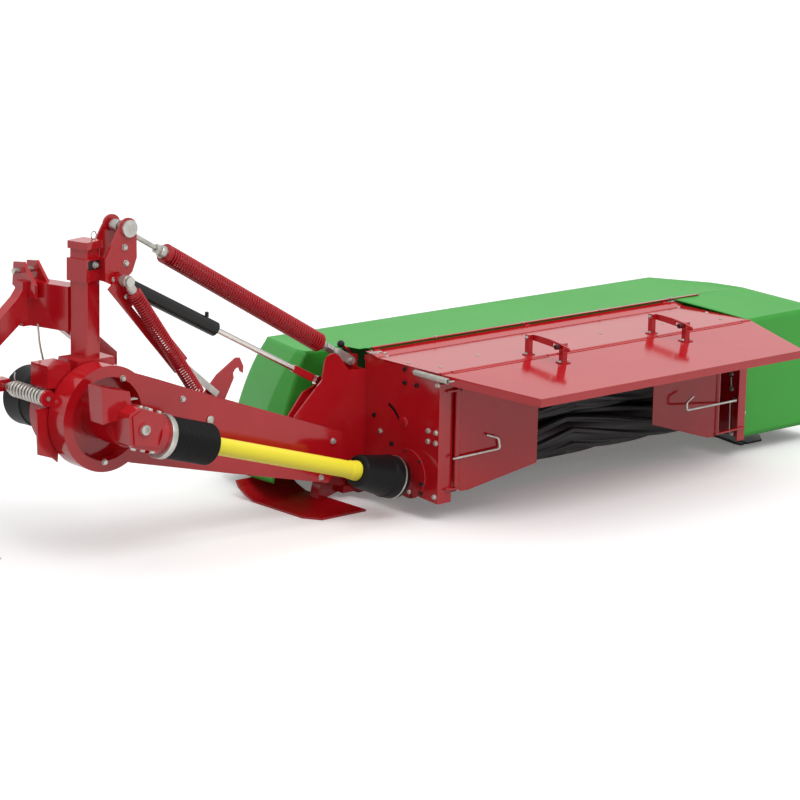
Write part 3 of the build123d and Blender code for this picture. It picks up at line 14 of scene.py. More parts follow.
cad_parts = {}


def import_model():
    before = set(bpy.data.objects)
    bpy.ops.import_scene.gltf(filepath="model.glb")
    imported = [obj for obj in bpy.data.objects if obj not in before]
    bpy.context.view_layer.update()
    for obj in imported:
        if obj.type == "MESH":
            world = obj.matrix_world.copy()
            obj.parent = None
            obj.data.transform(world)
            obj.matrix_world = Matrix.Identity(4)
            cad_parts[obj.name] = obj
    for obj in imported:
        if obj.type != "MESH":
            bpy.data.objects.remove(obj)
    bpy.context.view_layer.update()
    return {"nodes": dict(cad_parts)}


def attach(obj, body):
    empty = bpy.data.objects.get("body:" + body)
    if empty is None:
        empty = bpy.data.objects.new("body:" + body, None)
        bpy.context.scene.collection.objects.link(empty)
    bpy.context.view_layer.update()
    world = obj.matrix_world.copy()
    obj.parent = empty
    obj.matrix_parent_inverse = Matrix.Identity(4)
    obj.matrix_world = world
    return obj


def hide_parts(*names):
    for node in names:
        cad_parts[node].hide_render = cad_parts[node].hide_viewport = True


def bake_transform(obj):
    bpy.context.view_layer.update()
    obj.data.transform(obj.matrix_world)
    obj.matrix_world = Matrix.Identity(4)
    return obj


Array = np.ndarray
Colour = tuple[float, float, float, float]
Material = bpy.types.Material
Places = Sequence[tuple[Array, Sequence[float] | Array]]
log = logging.getLogger("disc_mower")

FRAME_SHIFT = np.array([1655.0, -894.0, -625.0])  # the bed's corner in the frame, in millimetres
X, Y, Z = np.eye(3)
MM = 0.001
WHITE = (1.0, 1.0, 1.0, 1.0)


def bed(x: float, y: float, z: float) -> Array:
    """Point of the bed in metres, given in millimetres from its left rear corner on the ground."""
    return (FRAME_SHIFT + (x, y, z)) / 1000.0


def boom(x: float, y: float, z: float) -> Array:
    """Point of hitch or boom in metres: y is counted in millimetres forward from the bed's rear."""
    return np.array([x, FRAME_SHIFT[1] + y, z]) / 1000.0


# Meshes: points are in metres; profiles, radii, depths and the like are in millimetres


@dataclass
class Part:
    """Points and faces of one solid or sheet, with the faces' corner numbers counted from 0."""

    points: Array
    faces: list[tuple[int, ...]]


def unit(v: Sequence[float] | Array) -> Array:
    """The vector brought to length 1."""
    v = np.asarray(v, float)
    return v / np.linalg.norm(v)


def square_to(axis: Array) -> tuple[Array, Array]:
    """Two unit vectors square to an axis and to each other.

    Args:
        axis: the unit vector they stand square to.

    Returns:
        A level vector where there is one, and the one that completes a right-handed set.
    """
    level = np.cross([0.0, 0.0, 1.0], axis)
    first = unit(level) if np.linalg.norm(level) > 1e-6 else X
    return first, np.cross(axis, first)


def grid_faces(
    rows: int, columns: int, wrap_rows: bool = False, wrap_columns: bool = False,
) -> list[tuple[int, ...]]:
    """Quads that join a grid of points stored row by row.

    Args:
        rows, columns: how many points the grid has each way.
        wrap_rows, wrap_columns: whether the last row or column joins the first.

    Returns:
        The quads as corner numbers.
    """
    r = np.arange(rows if wrap_rows else rows - 1)
    c = np.arange(columns if wrap_columns else columns - 1)
    a, b = np.meshgrid(r, c, indexing="ij")
    a1, b1 = (a + 1) % rows, (b + 1) % columns
    quads = np.stack([a * columns + b, a1 * columns + b, a1 * columns + b1, a * columns + b1], -1)
    return [tuple(q) for q in quads.reshape(-1, 4).tolist()]


def grid(points: Array, wrap_rows: bool = False, wrap_columns: bool = False, cap: bool = False) -> Part:
    """A surface on a grid of points.

    Args:
        points: array of rows by columns by 3.
        wrap_rows, wrap_columns: whether the surface closes on itself that way.
        cap: whether the first and last rows are closed with a flat face each.

    Returns:
        The surface as a part.
    """
    rows, columns = points.shape[:2]
    faces = grid_faces(rows, columns, wrap_rows, wrap_columns)
    if cap:
        faces.append(tuple(range(columns)))
        faces.append(tuple(range((rows - 1) * columns, rows * columns))[::-1])
    return Part(points.reshape(-1, 3), faces)


def joined(parts: Sequence[Part]) -> Part:
    """Several parts as one, with their faces renumbered."""
    points, faces, start = [], [], 0
    for part in parts:
        points.append(part.points)
        faces += [tuple(i + start for i in face) for face in part.faces]
        start += len(part.points)
    return Part(np.concatenate(points), faces)


def turned(profile: Sequence[tuple[float, float]], origin: Array, axis: Array, sides: int = 48) -> Part:
    """Surface of revolution: profile radius and height turned about an axis.

    Each point is origin + height * axis + radius * (cos a * first + sin a * second). A radius of 0 is a pole,
    closed by a fan.

    Args:
        profile: pairs of radius and height.
        origin: the point of the axis where the height is 0.
        axis: direction of the heights.
        sides: how many steps the full turn has.

    Returns:
        The turned part, its ends closed where the profile starts or ends off the axis.
    """
    axis = unit(axis)
    first, second = square_to(axis)
    rings = np.array(profile, float) * MM
    rings[:, 0] = np.maximum(rings[:, 0], 1e-5)
    angle = np.linspace(0.0, 2 * math.pi, sides, endpoint=False)
    round_ = np.cos(angle)[:, None] * first + np.sin(angle)[:, None] * second
    points = origin + rings[:, 1, None, None] * axis + rings[:, 0, None, None] * round_[None]
    closed = np.allclose(rings[0], rings[-1])
    return grid(points[:-1] if closed else points, wrap_rows=closed, wrap_columns=True, cap=not closed)


def tube(
    path: Array | Sequence[Array], radius: float | Array, sides: int = 12,
    normal: Sequence[float] | Array = Z, loop: bool = False,
) -> Part:
    """Round bar along a path: a circle carried square to the path's own direction.

    Args:
        path: points of the middle line, n by 3.
        radius: the bar's radius, one value or one for each point.
        sides: how many sides the circle has.
        normal: a direction that the path never runs along, from which the circle's axes are worked out.
        loop: whether the path closes on itself.

    Returns:
        The bar, capped at both ends unless it is a loop.
    """
    path = np.asarray(path, float)
    way = np.roll(path, -1, 0) - np.roll(path, 1, 0) if loop else np.gradient(path, axis=0)
    way /= np.linalg.norm(way, axis=1, keepdims=True)
    side = np.cross(normal, way)
    side /= np.linalg.norm(side, axis=1, keepdims=True)
    up = np.cross(way, side)
    angle = np.linspace(0.0, 2 * math.pi, sides, endpoint=False)
    size = np.broadcast_to(np.asarray(radius, float) * MM, (len(path),))[:, None, None]
    points = path[:, None] + size * (
        np.cos(angle)[None, :, None] * side[:, None] + np.sin(angle)[None, :, None] * up[:, None]
    )
    return grid(points, wrap_rows=loop, wrap_columns=True, cap=not loop)


def rounded_path(corners: Sequence[Sequence[float]], radius: float, steps: int = 6) -> Array:
    """Middle line through corners that are rounded by short parabolas.

    Args:
        corners: the points where straight runs would meet.
        radius: how far from each corner the bend starts.
        steps: points in each bend.

    Returns:
        The smooth line's points.
    """
    p = np.asarray(corners, float)
    run = np.diff(p, axis=0)
    size = np.linalg.norm(run, axis=1, keepdims=True)
    way = run / size
    cut = np.minimum(radius * MM, 0.45 * np.minimum(size[:-1], size[1:]))
    t = np.linspace(0.0, 1.0, steps)[None, :, None]
    a, b = (p[1:-1] - way[:-1] * cut)[:, None], (p[1:-1] + way[1:] * cut)[:, None]
    bends = (1 - t) ** 2 * a + 2 * t * (1 - t) * p[1:-1, None] + t**2 * b
    return np.concatenate([p[:1], bends.reshape(-1, 3), p[-1:]])


def helix(
    start: Array, end: Array, turns: float, radius: float, wire: float, sides: int = 10, steps: int = 26,
) -> Part:
    """Coil spring: a wire whose middle runs at a fixed radius about a line and advances evenly along it.

    Args:
        start, end: the ends of the coil's own axis.
        turns: how many times the wire goes round.
        radius: from the axis to the wire's middle.
        wire: the wire's radius.
        sides: sides of the wire.
        steps: steps in each turn.

    Returns:
        The coil; it doesn't advance over the first and last 0.75 turns, so that its ends are flat.
    """
    first, second = square_to(unit(end - start))
    radius, wire = radius * MM, wire * MM
    t = np.linspace(0.0, 1.0, int(turns * steps) + 1)
    flat = 0.75 / turns
    inset = wire / np.linalg.norm(end - start)
    advance = inset + np.clip((t - flat) / (1 - 2 * flat), 0.0, 1.0) * (1 - 2 * inset)
    angle = 2 * math.pi * turns * t
    out = np.cos(angle)[:, None] * first + np.sin(angle)[:, None] * second
    path = start + advance[:, None] * (end - start) + radius * out
    way = np.gradient(path, axis=0)
    way /= np.linalg.norm(way, axis=1, keepdims=True)
    up = np.cross(way, out)
    around = np.linspace(0.0, 2 * math.pi, sides, endpoint=False)
    points = path[:, None] + wire * (
        np.cos(around)[None, :, None] * out[:, None] + np.sin(around)[None, :, None] * up[:, None]
    )
    return grid(points, wrap_columns=True, cap=True)


def prism(
    outline: Sequence[tuple[float, float]], origin: Array, across: Array, up: Array, depth: float,
    chamfer: float = 0.0,
) -> Part:
    """Plate of one outline: flat faces front and back, with its edges broken by a small chamfer.

    Args:
        outline: corners along across and up.
        origin: the point of the first face where both are 0.
        across, up: the outline's own axes.
        depth: the plate's thickness, along across times up.
        chamfer: how far the edges are broken.

    Returns:
        The plate as a closed part.
    """
    across, up = unit(across), unit(up)
    out = np.cross(across, up)
    p = np.array(outline, float) * MM
    depth, chamfer = depth * MM, chamfer * MM
    before, after = p - np.roll(p, 1, 0), np.roll(p, -1, 0) - p
    before /= np.linalg.norm(before, axis=1, keepdims=True)
    after /= np.linalg.norm(after, axis=1, keepdims=True)
    turn = np.sign(np.sum(p[:, 0] * np.roll(p[:, 1], -1) - p[:, 1] * np.roll(p[:, 0], -1)))
    inward = np.stack([-(before + after)[:, 1], (before + after)[:, 0]], -1) * turn
    inward /= np.maximum(np.linalg.norm(inward, axis=1, keepdims=True), 1e-9)
    small = p + inward * chamfer
    rings = [
        (small, 0.0), (p, chamfer), (p, depth - chamfer), (small, depth),
    ] if chamfer else [(p, 0.0), (p, depth)]
    points = np.stack([origin + q[:, :1] * across + q[:, 1:] * up + h * out for q, h in rings])
    return grid(points, wrap_columns=True, cap=True)


def rounded_box(low: Array, high: Array, edge: float) -> Part:
    """Block between two corners, in line with the frame, with its upright edges broken."""
    wide, deep, tall = (high - low) / MM
    return prism([(0, 0), (wide, 0), (wide, deep), (0, deep)], low, X, Y, tall, edge)


class Head(Enum):
    """Kinds of fastener head."""

    HEX = "hex"
    DOME = "dome"
    NUT = "nut"
    SOCKET = "socket"


def fastener(kind: Head, size: float) -> Part:
    """One fastener on the XY plane, its head towards +Z, worked out from its thread size.

    A hex head is a turned shape of 6 sides, 1.7 thread sizes across its corners; its washer is a flat ring.

    Args:
        kind: the head's form.
        size: the thread's diameter.

    Returns:
        The fastener as one part.
    """

    def lathe(profile: Sequence[tuple[float, float]], steps: int = 18) -> Part:
        """Turned shape whose profile is counted in thread sizes."""
        return turned([(r * size, h * size) for r, h in profile], np.zeros(3), Z, steps)

    if kind is Head.SOCKET:
        return lathe([(0.85, 0.0), (0.85, 0.5), (0.75, 0.58), (0.42, 0.58), (0.42, 0.3)])
    if kind is Head.DOME:
        turn = np.linspace(0.0, math.pi / 2, 5)
        return lathe([(1.0, 0.0)] + [(math.cos(a), 0.1 + 0.45 * math.sin(a)) for a in turn])
    washer = lathe([(1.12, -0.02), (1.12, 0.13), (1.06, 0.18), (0.3, 0.18)])
    corner, height = 0.98, 0.7 if kind is Head.HEX else 0.85
    top = 0.18 + height
    head = lathe([(corner, 0.18), (corner, 0.16 + 0.75 * height), (0.84 * corner, top), (0.3, top)], 6)
    if kind is Head.HEX:
        return joined([washer, head])
    return joined([washer, head, lathe([(0.5, 0.9), (0.5, 1.35), (0.4, 1.45)], 12)])


def placed(part: Part, point: Array, axis: Sequence[float] | Array, spin: float = 0.0) -> Part:
    """The part moved so that its own +Z runs along an axis from a point.

    Args:
        part: made about the origin.
        point: where its origin goes.
        axis: where its +Z goes.
        spin: turn about the axis, in radians.

    Returns:
        The moved part.
    """
    axis = unit(axis)
    first, second = square_to(axis)
    a = math.cos(spin) * first + math.sin(spin) * second
    b = np.cross(axis, a)
    return Part(point + part.points @ np.stack([a, b, axis]), part.faces)


def fasteners(kind: Head, size: float, places: Places) -> Part:
    """A set of like fasteners, each at its point with its head along its axis."""
    one = fastener(kind, size)
    return joined([placed(one, point, axis, 0.4 * i) for i, (point, axis) in enumerate(places)])


# Shader expressions


class Term:
    """A shader value that adds its own Math nodes where it is used in an expression."""

    def __init__(self, shader: "Shader", socket: bpy.types.NodeSocket) -> None:
        """Keeps the socket and the shader that it belongs to."""
        self.shader, self.socket = shader, socket

    def _with(self, operation: str, first: Any, second: Any) -> "Term":
        """The result of one Math node on two values."""
        return self.shader.value("ShaderNodeMath", 0, {"operation": operation}, {0: first, 1: second})

    def __add__(self, other: Any) -> "Term":
        """Sum."""
        return self._with("ADD", self, other)

    __radd__ = __add__

    def __mul__(self, other: Any) -> "Term":
        """Product."""
        return self._with("MULTIPLY", self, other)

    __rmul__ = __mul__

    def band(self, low: float, high: float) -> "Term":
        """0 below low and 1 above high, with a smooth step between them."""
        settings = {"interpolation_type": "SMOOTHSTEP"}
        return self.shader.value(
            "ShaderNodeMapRange", 0, settings, {"Value": self, "From Min": low, "From Max": high},
        )


class Shader:
    """Node tree of one material or of the world, from which its values are made."""

    def __init__(self, name: str, tree: bpy.types.NodeTree | None = None) -> None:
        """Starts an empty tree.

        Args:
            name: the new material's name, where no tree is given.
            tree: a world's tree that is used in place of a material's.
        """
        if tree is None:
            self.material = bpy.data.materials.new(name)
            self.material.use_nodes = True
            tree = self.material.node_tree
        self.tree = tree
        self.tree.nodes.clear()

    def node(
        self, kind: str, settings: dict[str, Any] | None = None, inputs: dict[Any, Any] | None = None,
    ) -> bpy.types.Node:
        """Adds one node.

        Args:
            kind: Blender's name of the node type.
            settings: its own settings, set first.
            inputs: values, terms or sockets by the input's name or number.

        Returns:
            The node.
        """
        node = self.tree.nodes.new(kind)
        for key, value in (settings or {}).items():
            setattr(node, key, value)
        for key, value in (inputs or {}).items():
            value = value.socket if isinstance(value, Term) else value
            if isinstance(value, bpy.types.NodeSocket):
                self.tree.links.new(value, node.inputs[key])
            else:
                node.inputs[key].default_value = value
        return node

    def value(
        self, kind: str, output: Any, settings: dict[str, Any] | None = None,
        inputs: dict[Any, Any] | None = None,
    ) -> Term:
        """One output of a new node as a term."""
        return Term(self, self.node(kind, settings, inputs).outputs[output])

    def sine(self, angle: Term) -> Term:
        """Sine of an angle in radians."""
        return self.value("ShaderNodeMath", 0, {"operation": "SINE"}, {0: angle})

    def seen(self) -> Term:
        """1 where the camera looks or a reflection shows, and 0 for the light that falls on things."""
        path = self.node("ShaderNodeLightPath")
        rays = {0: path.outputs["Is Camera Ray"], 1: path.outputs["Is Glossy Ray"]}
        return self.value("ShaderNodeMath", 0, {"operation": "MAXIMUM"}, rays)

    def place(self, scale: Sequence[float] = (1.0, 1.0, 1.0)) -> Term:
        """Object coordinates in metres, stretched by a scale each way."""
        spot = self.value("ShaderNodeTexCoord", "Object")
        return self.value("ShaderNodeMapping", 0, {}, {"Vector": spot, "Scale": tuple(scale)})

    def noise(self, where: Term, scale: float, detail: float = 2.0, rough: float = 0.5) -> Term:
        """Smooth noise from 0 to 1 at a number of cells for each metre."""
        return self.value(
            "ShaderNodeTexNoise", 0, {},
            {"Vector": where, "Scale": scale, "Detail": detail, "Roughness": rough},
        )

    def mix(self, share: Any, low: Any, high: Any) -> Term:
        """Colour between two colours."""
        return self.value("ShaderNodeMix", 2, {"data_type": "RGBA"}, {0: share, 6: low, 7: high})

    def bump(self, height: Term, depth: float) -> Term:
        """Normal from a height, its full range a depth in metres."""
        return self.value("ShaderNodeBump", 0, {}, {"Height": height, "Distance": depth, "Strength": 1.0})

    def surface(self, **inputs: Any) -> Material:
        """Ends the material in one Principled surface.

        Args:
            inputs: its sockets by name, with underscores for blanks.

        Returns:
            The finished material.
        """
        sockets = {key.replace("_", " "): value for key, value in inputs.items()}
        body = self.node("ShaderNodeBsdfPrincipled", {}, sockets)
        self.node("ShaderNodeOutputMaterial", {}, {"Surface": body.outputs[0]})
        return self.material


def toned(colour: Colour, gain: float, lift: float = 0.0) -> Colour:
    """The colour with each channel multiplied by a gain and raised by a lift."""
    return (*(v * gain + lift for v in colour[:3]), 1.0)


@dataclass(frozen=True)
class Enamel:
    """Glossy sprayed paint: faint orange peel, and a film of dust that dulls it in places."""

    name: str
    colour: Colour
    gloss: float = 0.1
    shine: float = 0.5
    dust: float = 0.02
    peel: float = 0.00006

    def make(self) -> Material:
        """The paint's material."""
        s = Shader(self.name)
        where = s.place()
        cloud = s.noise(where, 2.6, 4.0, 0.6)
        fine = s.noise(where, 420.0, 2.0)
        film = cloud.band(0.42, 0.8)
        dusty = toned(self.colour, 1.0 - self.dust, 0.5 * self.dust)
        tone = s.mix(film, s.mix(cloud, toned(self.colour, 0.9), self.colour), dusty)
        peel = s.noise(where, 160.0, 1.0)
        return s.surface(
            Base_Color=tone,
            Roughness=self.gloss + film * 0.08 + fine * 0.02,
            Specular_IOR_Level=self.shine,
            Normal=s.bump(peel, self.peel),
        )


@dataclass(frozen=True)
class Metal:
    """Bare, plated or cast metal with a fine brushed or grainy face and darker patches."""

    name: str
    colour: Colour
    roughness: float = 0.32
    metallic: float = 1.0
    grain: float = 600.0
    grain_depth: float = 0.00006
    patch: float = 0.25

    def make(self) -> Material:
        """The metal's material."""
        s = Shader(self.name)
        where = s.place()
        cloud = s.noise(where, 28.0, 3.0, 0.6)
        fine = s.noise(s.place((1.0, 0.25, 1.0)), self.grain, 2.0)
        dull = toned(self.colour, 1.0 - self.patch)
        return s.surface(
            Base_Color=s.mix(cloud.band(0.35, 0.7), dull, self.colour),
            Metallic=self.metallic,
            Roughness=self.roughness + cloud * 0.12 + fine * 0.05,
            Normal=s.bump(fine, self.grain_depth),
        )


@dataclass(frozen=True)
class Moulding:
    """Moulded plastic or rubber: a leathery grain, and dust that pales it in places."""

    name: str
    colour: Colour
    roughness: float = 0.5
    grain: float = 900.0
    grain_depth: float = 0.0001
    dust: float = 0.03
    shine: float = 0.5

    def make(self) -> Material:
        """The moulding's material."""
        s = Shader(self.name)
        where = s.place()
        cloud = s.noise(where, 5.0, 4.0, 0.6)
        cells = s.value(
            "ShaderNodeTexVoronoi", 0, {"feature": "SMOOTH_F1"}, {"Vector": where, "Scale": self.grain},
        )
        dusty = toned(self.colour, 1.0, self.dust)
        return s.surface(
            Base_Color=s.mix(cloud.band(0.4, 0.75), self.colour, dusty),
            Roughness=self.roughness + cloud * 0.12,
            Specular_IOR_Level=self.shine,
            Normal=s.bump(cells, self.grain_depth),
        )


@dataclass(frozen=True)
class Canvas:
    """Coated canvas: threads that cross under a thin coat, laid by the sheet's own UV in metres."""

    name: str
    colour: Colour
    threads: float = 520.0
    roughness: float = 0.42
    weave: float = 0.00025
    shine: float = 0.42

    def make(self) -> Material:
        """The cloth's material."""
        s = Shader(self.name)
        flat = s.node(
            "ShaderNodeSeparateXYZ", {}, {"Vector": s.value("ShaderNodeUVMap", 0, {"uv_map": "cut"})},
        )
        warp, weft = Term(s, flat.outputs[0]), Term(s, flat.outputs[1])
        half_turns = self.threads * math.pi
        cross = s.sine(warp * half_turns) * s.sine(weft * half_turns)
        cloud = s.noise(s.place(), 3.0, 4.0, 0.55)
        slub = s.noise(s.place(), 90.0, 2.0)
        tone = s.mix(cloud * 0.7 + slub * 0.3, toned(self.colour, 0.82), toned(self.colour, 1.06, 0.006))
        return s.surface(
            Base_Color=tone,
            Roughness=self.roughness + slub * 0.12,
            Specular_IOR_Level=self.shine,
            Normal=s.bump(cross * 0.5 + slub * 0.5, self.weave),
        )


@dataclass(frozen=True)
class Coat:
    """A finish in use: its material, and the name of a slot, which nothing in this script reads."""

    material: Material
    slot: str


def coat(finish: Enamel | Metal | Moulding | Canvas, slot: str = "") -> Any:
    """Field of Paints that makes a finish; its slot is empty where only CAD nodes wear it."""
    return field(default_factory=lambda: Coat(finish.make(), slot))


@dataclass
class Paints:
    """Every finish of the machine, made once."""

    red: Coat = coat(Enamel("red_enamel", (0.52, 0.007, 0.013, 1.0)), "red_paint")
    black: Coat = coat(Enamel("black_enamel", (0.01, 0.01, 0.011, 1.0), 0.3, 0.3, 0.008), "black_paint")
    plate: Coat = coat(Metal("zinc_plate", (0.56, 0.55, 0.51, 1.0), 0.38), "bright_steel")
    chrome: Coat = coat(Metal("chromed_rod", (0.7, 0.68, 0.66, 1.0), 0.12, 1.0, 900.0, 0.00002, 0.08))
    cast: Coat = coat(Metal("dark_casting", (0.05, 0.05, 0.055, 1.0), 0.5, 0.6, 300.0, 0.0002))
    spring: Coat = coat(Enamel("spring_enamel", (0.46, 0.008, 0.016, 1.0), 0.25, 0.4, 0.02), "red_paint")
    yellow: Coat = coat(
        Moulding("yellow_guard_tube", (1.0, 0.86, 0.04, 1.0), 0.34, 500.0, 0.00003, 0.0, 0.5),
        "yellow_guard",
    )
    guard: Coat = coat(
        Moulding("black_guard_plastic", (0.005, 0.005, 0.0055, 1.0), 0.36, 700.0, 0.00005, 0.003, 0.16),
        "black_plastic",
    )
    rubber: Coat = coat(
        Moulding("roller_rubber", (0.011, 0.011, 0.012, 1.0), 0.4, 500.0, 0.0001, 0.008, 0.4),
        "roller_rubber",
    )
    knob: Coat = coat(
        Moulding("black_knob", (0.008, 0.008, 0.008, 1.0), 0.3, 900.0, 0.00003, 0.0, 0.3), "black_plastic",
    )
    # The hem's colour is the canvas green darkened: painted shade on the hood's rear lip.
    hem: Coat = coat(
        Moulding("green_hem_painted_shade", (0.05, 0.16, 0.02, 1.0), 0.5, 500.0, 0.00012, 0.01, 0.2), "green_canvas",
    )
    canvas: Coat = coat(Canvas("green_canvas", (0.04, 0.41, 0.035, 1.0)), "green_canvas")


# Assemblies


@dataclass
class Assembly:
    """One sub-assembly: it makes pieces, gives them their finish and lets them ride on their body."""

    paints: Paints
    nodes: dict[str, bpy.types.Object]

    def piece(
        self,
        name: str,
        parts: Part | Sequence[Part],
        body: str,
        finish: Coat,
        smooth: float = 40.0,
        replaces: Sequence[str] = (),
        rides: bool = True,
    ) -> bpy.types.Object:
        """Makes one piece of the visible model.

        Args:
            name: the piece's name.
            parts: its shape, one part or several.
            body: the moving body it rides on.
            finish: the coat whose material it wears.
            smooth: edges sharper than this angle, in degrees, stay sharp.
            replaces: CAD nodes that it stands for.
            rides: whether it is attached to that body; otherwise it is left unattached.

        Returns:
            The piece's object.
        """
        part = joined([parts] if isinstance(parts, Part) else list(parts))
        mesh = bpy.data.meshes.new(name)
        mesh.from_pydata(part.points, [], part.faces)
        work = bmesh.new()
        work.from_mesh(mesh)
        bmesh.ops.remove_doubles(work, verts=work.verts, dist=2e-5)
        bmesh.ops.recalc_face_normals(work, faces=work.faces)
        work.to_mesh(mesh)
        work.free()
        mesh.shade_smooth()
        mesh.set_sharp_from_angle(angle=math.radians(smooth))
        mesh.materials.append(finish.material)
        thing = bpy.data.objects.new(name, mesh)
        bpy.context.scene.collection.objects.link(thing)
        if rides:
            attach(thing, body)
        if replaces:
            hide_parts(*replaces)
        log.info("%s: %d faces on %s", name, len(mesh.polygons), body)
        return thing

    def bolts(
        self, name: str, kind: Head, size: float, places: Places, body: str, finish: Coat | None = None
    ) -> None:
        """Makes one piece of a set of like fasteners, plated where no finish is named."""
        self.piece(name, fasteners(kind, size, places), body, finish or self.paints.plate)

    def dress(self, finish: Coat, *names: str) -> None:
        """Gives CAD nodes a finish in place of their plain one."""
        for name in names:
            mesh = self.nodes[name].data
            mesh.materials.clear()
            mesh.materials.append(finish.material)


@dataclass
class Hitch(Assembly):
    """A-frame, mast, bracket, turret, input guard, breakaway spring and stand."""

    pivot: tuple[float, float] = (71.0, 21.0)

    def build(self) -> None:
        """Dresses the hitch and adds its springs, pins and fasteners."""
        p = self.paints
        self.dress(p.red, "hitch_frame", "turret", "mast", "mast_bracket")
        pins = ("lower_pin_left", "lower_pin_right", "top_link_pin", "top_spring_pin", "common_pin")
        self.dress(p.plate, "pto_shaft", *pins)
        self.dress(p.black, "parking_stand")
        self.dress(p.guard, "paper_tube")
        self.input_guard()
        self.breakaway()
        self.mast_trim()
        self.stay_hooks()

    def input_guard(self) -> None:
        """Bell round the power input: a turned shell with shallow steps and a rolled rim."""
        origin = boom(self.pivot[0], 726, self.pivot[1])
        shell = [
            (96, 0), (104, 6), (108, 70), (112, 90), (118, 94), (126, 150), (132, 156), (134, 250),
            (136, 262), (135, 270),
        ]
        inner = [(r - 4, h) for r, h in reversed(shell)]
        self.piece(
            "input_bell", turned(shell + inner + shell[:1], origin, Y, 96), "hitch", self.paints.guard, 35,
            ["bell_guard"],
        )

    def breakaway(self) -> None:
        """Spring of the breakaway release: a bright coil on its rod, between a red seat and a turned one."""
        x, z = -165.0, 122.0
        rear, front = boom(x, 504, z), boom(x, 806, z)
        way = unit(front - rear)
        coil = helix(rear + way * 0.018, front - way * 0.05, 11, 28.5, 7.2, 12)
        rod = tube([boom(x, 500, z), boom(x, 834, z)], 9.8, 20)
        cup = turned(
            [(9.8, -52), (32, -52), (34, -48), (19, -8), (16, 0), (9.8, 0), (9.8, -52)], front, way, 32,
        )
        seat = turned([(10.2, 0), (35, 0), (37, 2), (37, 12), (35, 14), (10.2, 14), (10.2, 0)], rear, way, 32)
        self.piece("breakaway_seat", seat, "hitch", self.paints.red)
        pin = tube([boom(x - 18, 519, z), boom(x + 43, 519, z)], 5, 12)
        self.piece(
            "breakaway_coil", [coil, rod, pin, cup], "hitch", self.paints.plate,
            replaces=["breakaway_spring"],
        )

    def mast_trim(self) -> None:
        """Fasteners of the mast and its bracket, a black plate painted as the shade in its clamp's slot, and
        the linch pin.
        """
        p, back = self.paints, -Y
        bolts = [(boom(245, 500, 671), back), (boom(184, 500, 604), back), (boom(238, 500, 742), back)]
        self.bolts("bracket_bolts", Head.HEX, 13, bolts, "hitch")
        turn = math.radians(14)
        across = np.array([math.cos(turn), math.sin(turn), 0.0])
        out = np.array([math.sin(turn), -math.cos(turn), 0.0])
        face = boom(95, 594, 672) + out * 0.056
        # Painted shade: a thin black plate on the clamp's face stands for the shaded inside of its slot.
        slot_shade_outline = [(-44, -20), (52, -20), (52, 20), (-44, 20)]
        self.piece("clamp_slot_painted_shade", prism(slot_shade_outline, face - out * 0.004, across, Z, 5, 1), "hitch", p.black)
        self.piece("clamp_bolt", placed(fastener(Head.NUT, 14), face, out), "hitch", p.plate)
        ring = np.linspace(0.0, 2 * math.pi, 25)[:-1]
        centre = boom(139, 590, 792)
        loop = centre + 0.017 * np.stack(
            [np.cos(ring) * across[0], np.cos(ring) * across[1], np.sin(ring)], -1,
        )
        stem = rounded_path(
            [centre + (0.0, 0.0, -0.017), centre + (-0.004, 0.0, -0.034), centre + (0.004, 0, -0.052)], 6,
        )
        wire = [tube(loop, 2.4, 8, (0.1, -1.0, 0.0), True), tube(stem, 2.4, 8, Y)]
        self.piece("linch_pin", wire, "hitch", p.plate)

    def stay_hooks(self) -> None:
        """Bent wire that holds the tractor's drive shaft when it is off."""
        long = rounded_path(
            [
                (-0.028, -0.12, 0.39), (-0.02, -0.12, 0.3), (0.0, -0.12, 0.22), (0.004, -0.12, 0.18),
                (-0.018, -0.12, 0.146), (-0.03, -0.12, 0.165),
            ],
            30,
        )
        short = rounded_path(
            [(-0.15, -0.12, 0.19), (-0.153, -0.12, 0.16), (-0.143, -0.12, 0.128), (-0.12, -0.12, 0.124)],
            20,
        )
        wires = [tube(path, 4.5, 10, Y) for path in (long, short)]
        self.piece("shaft_stay", wires, "hitch", self.paints.plate)


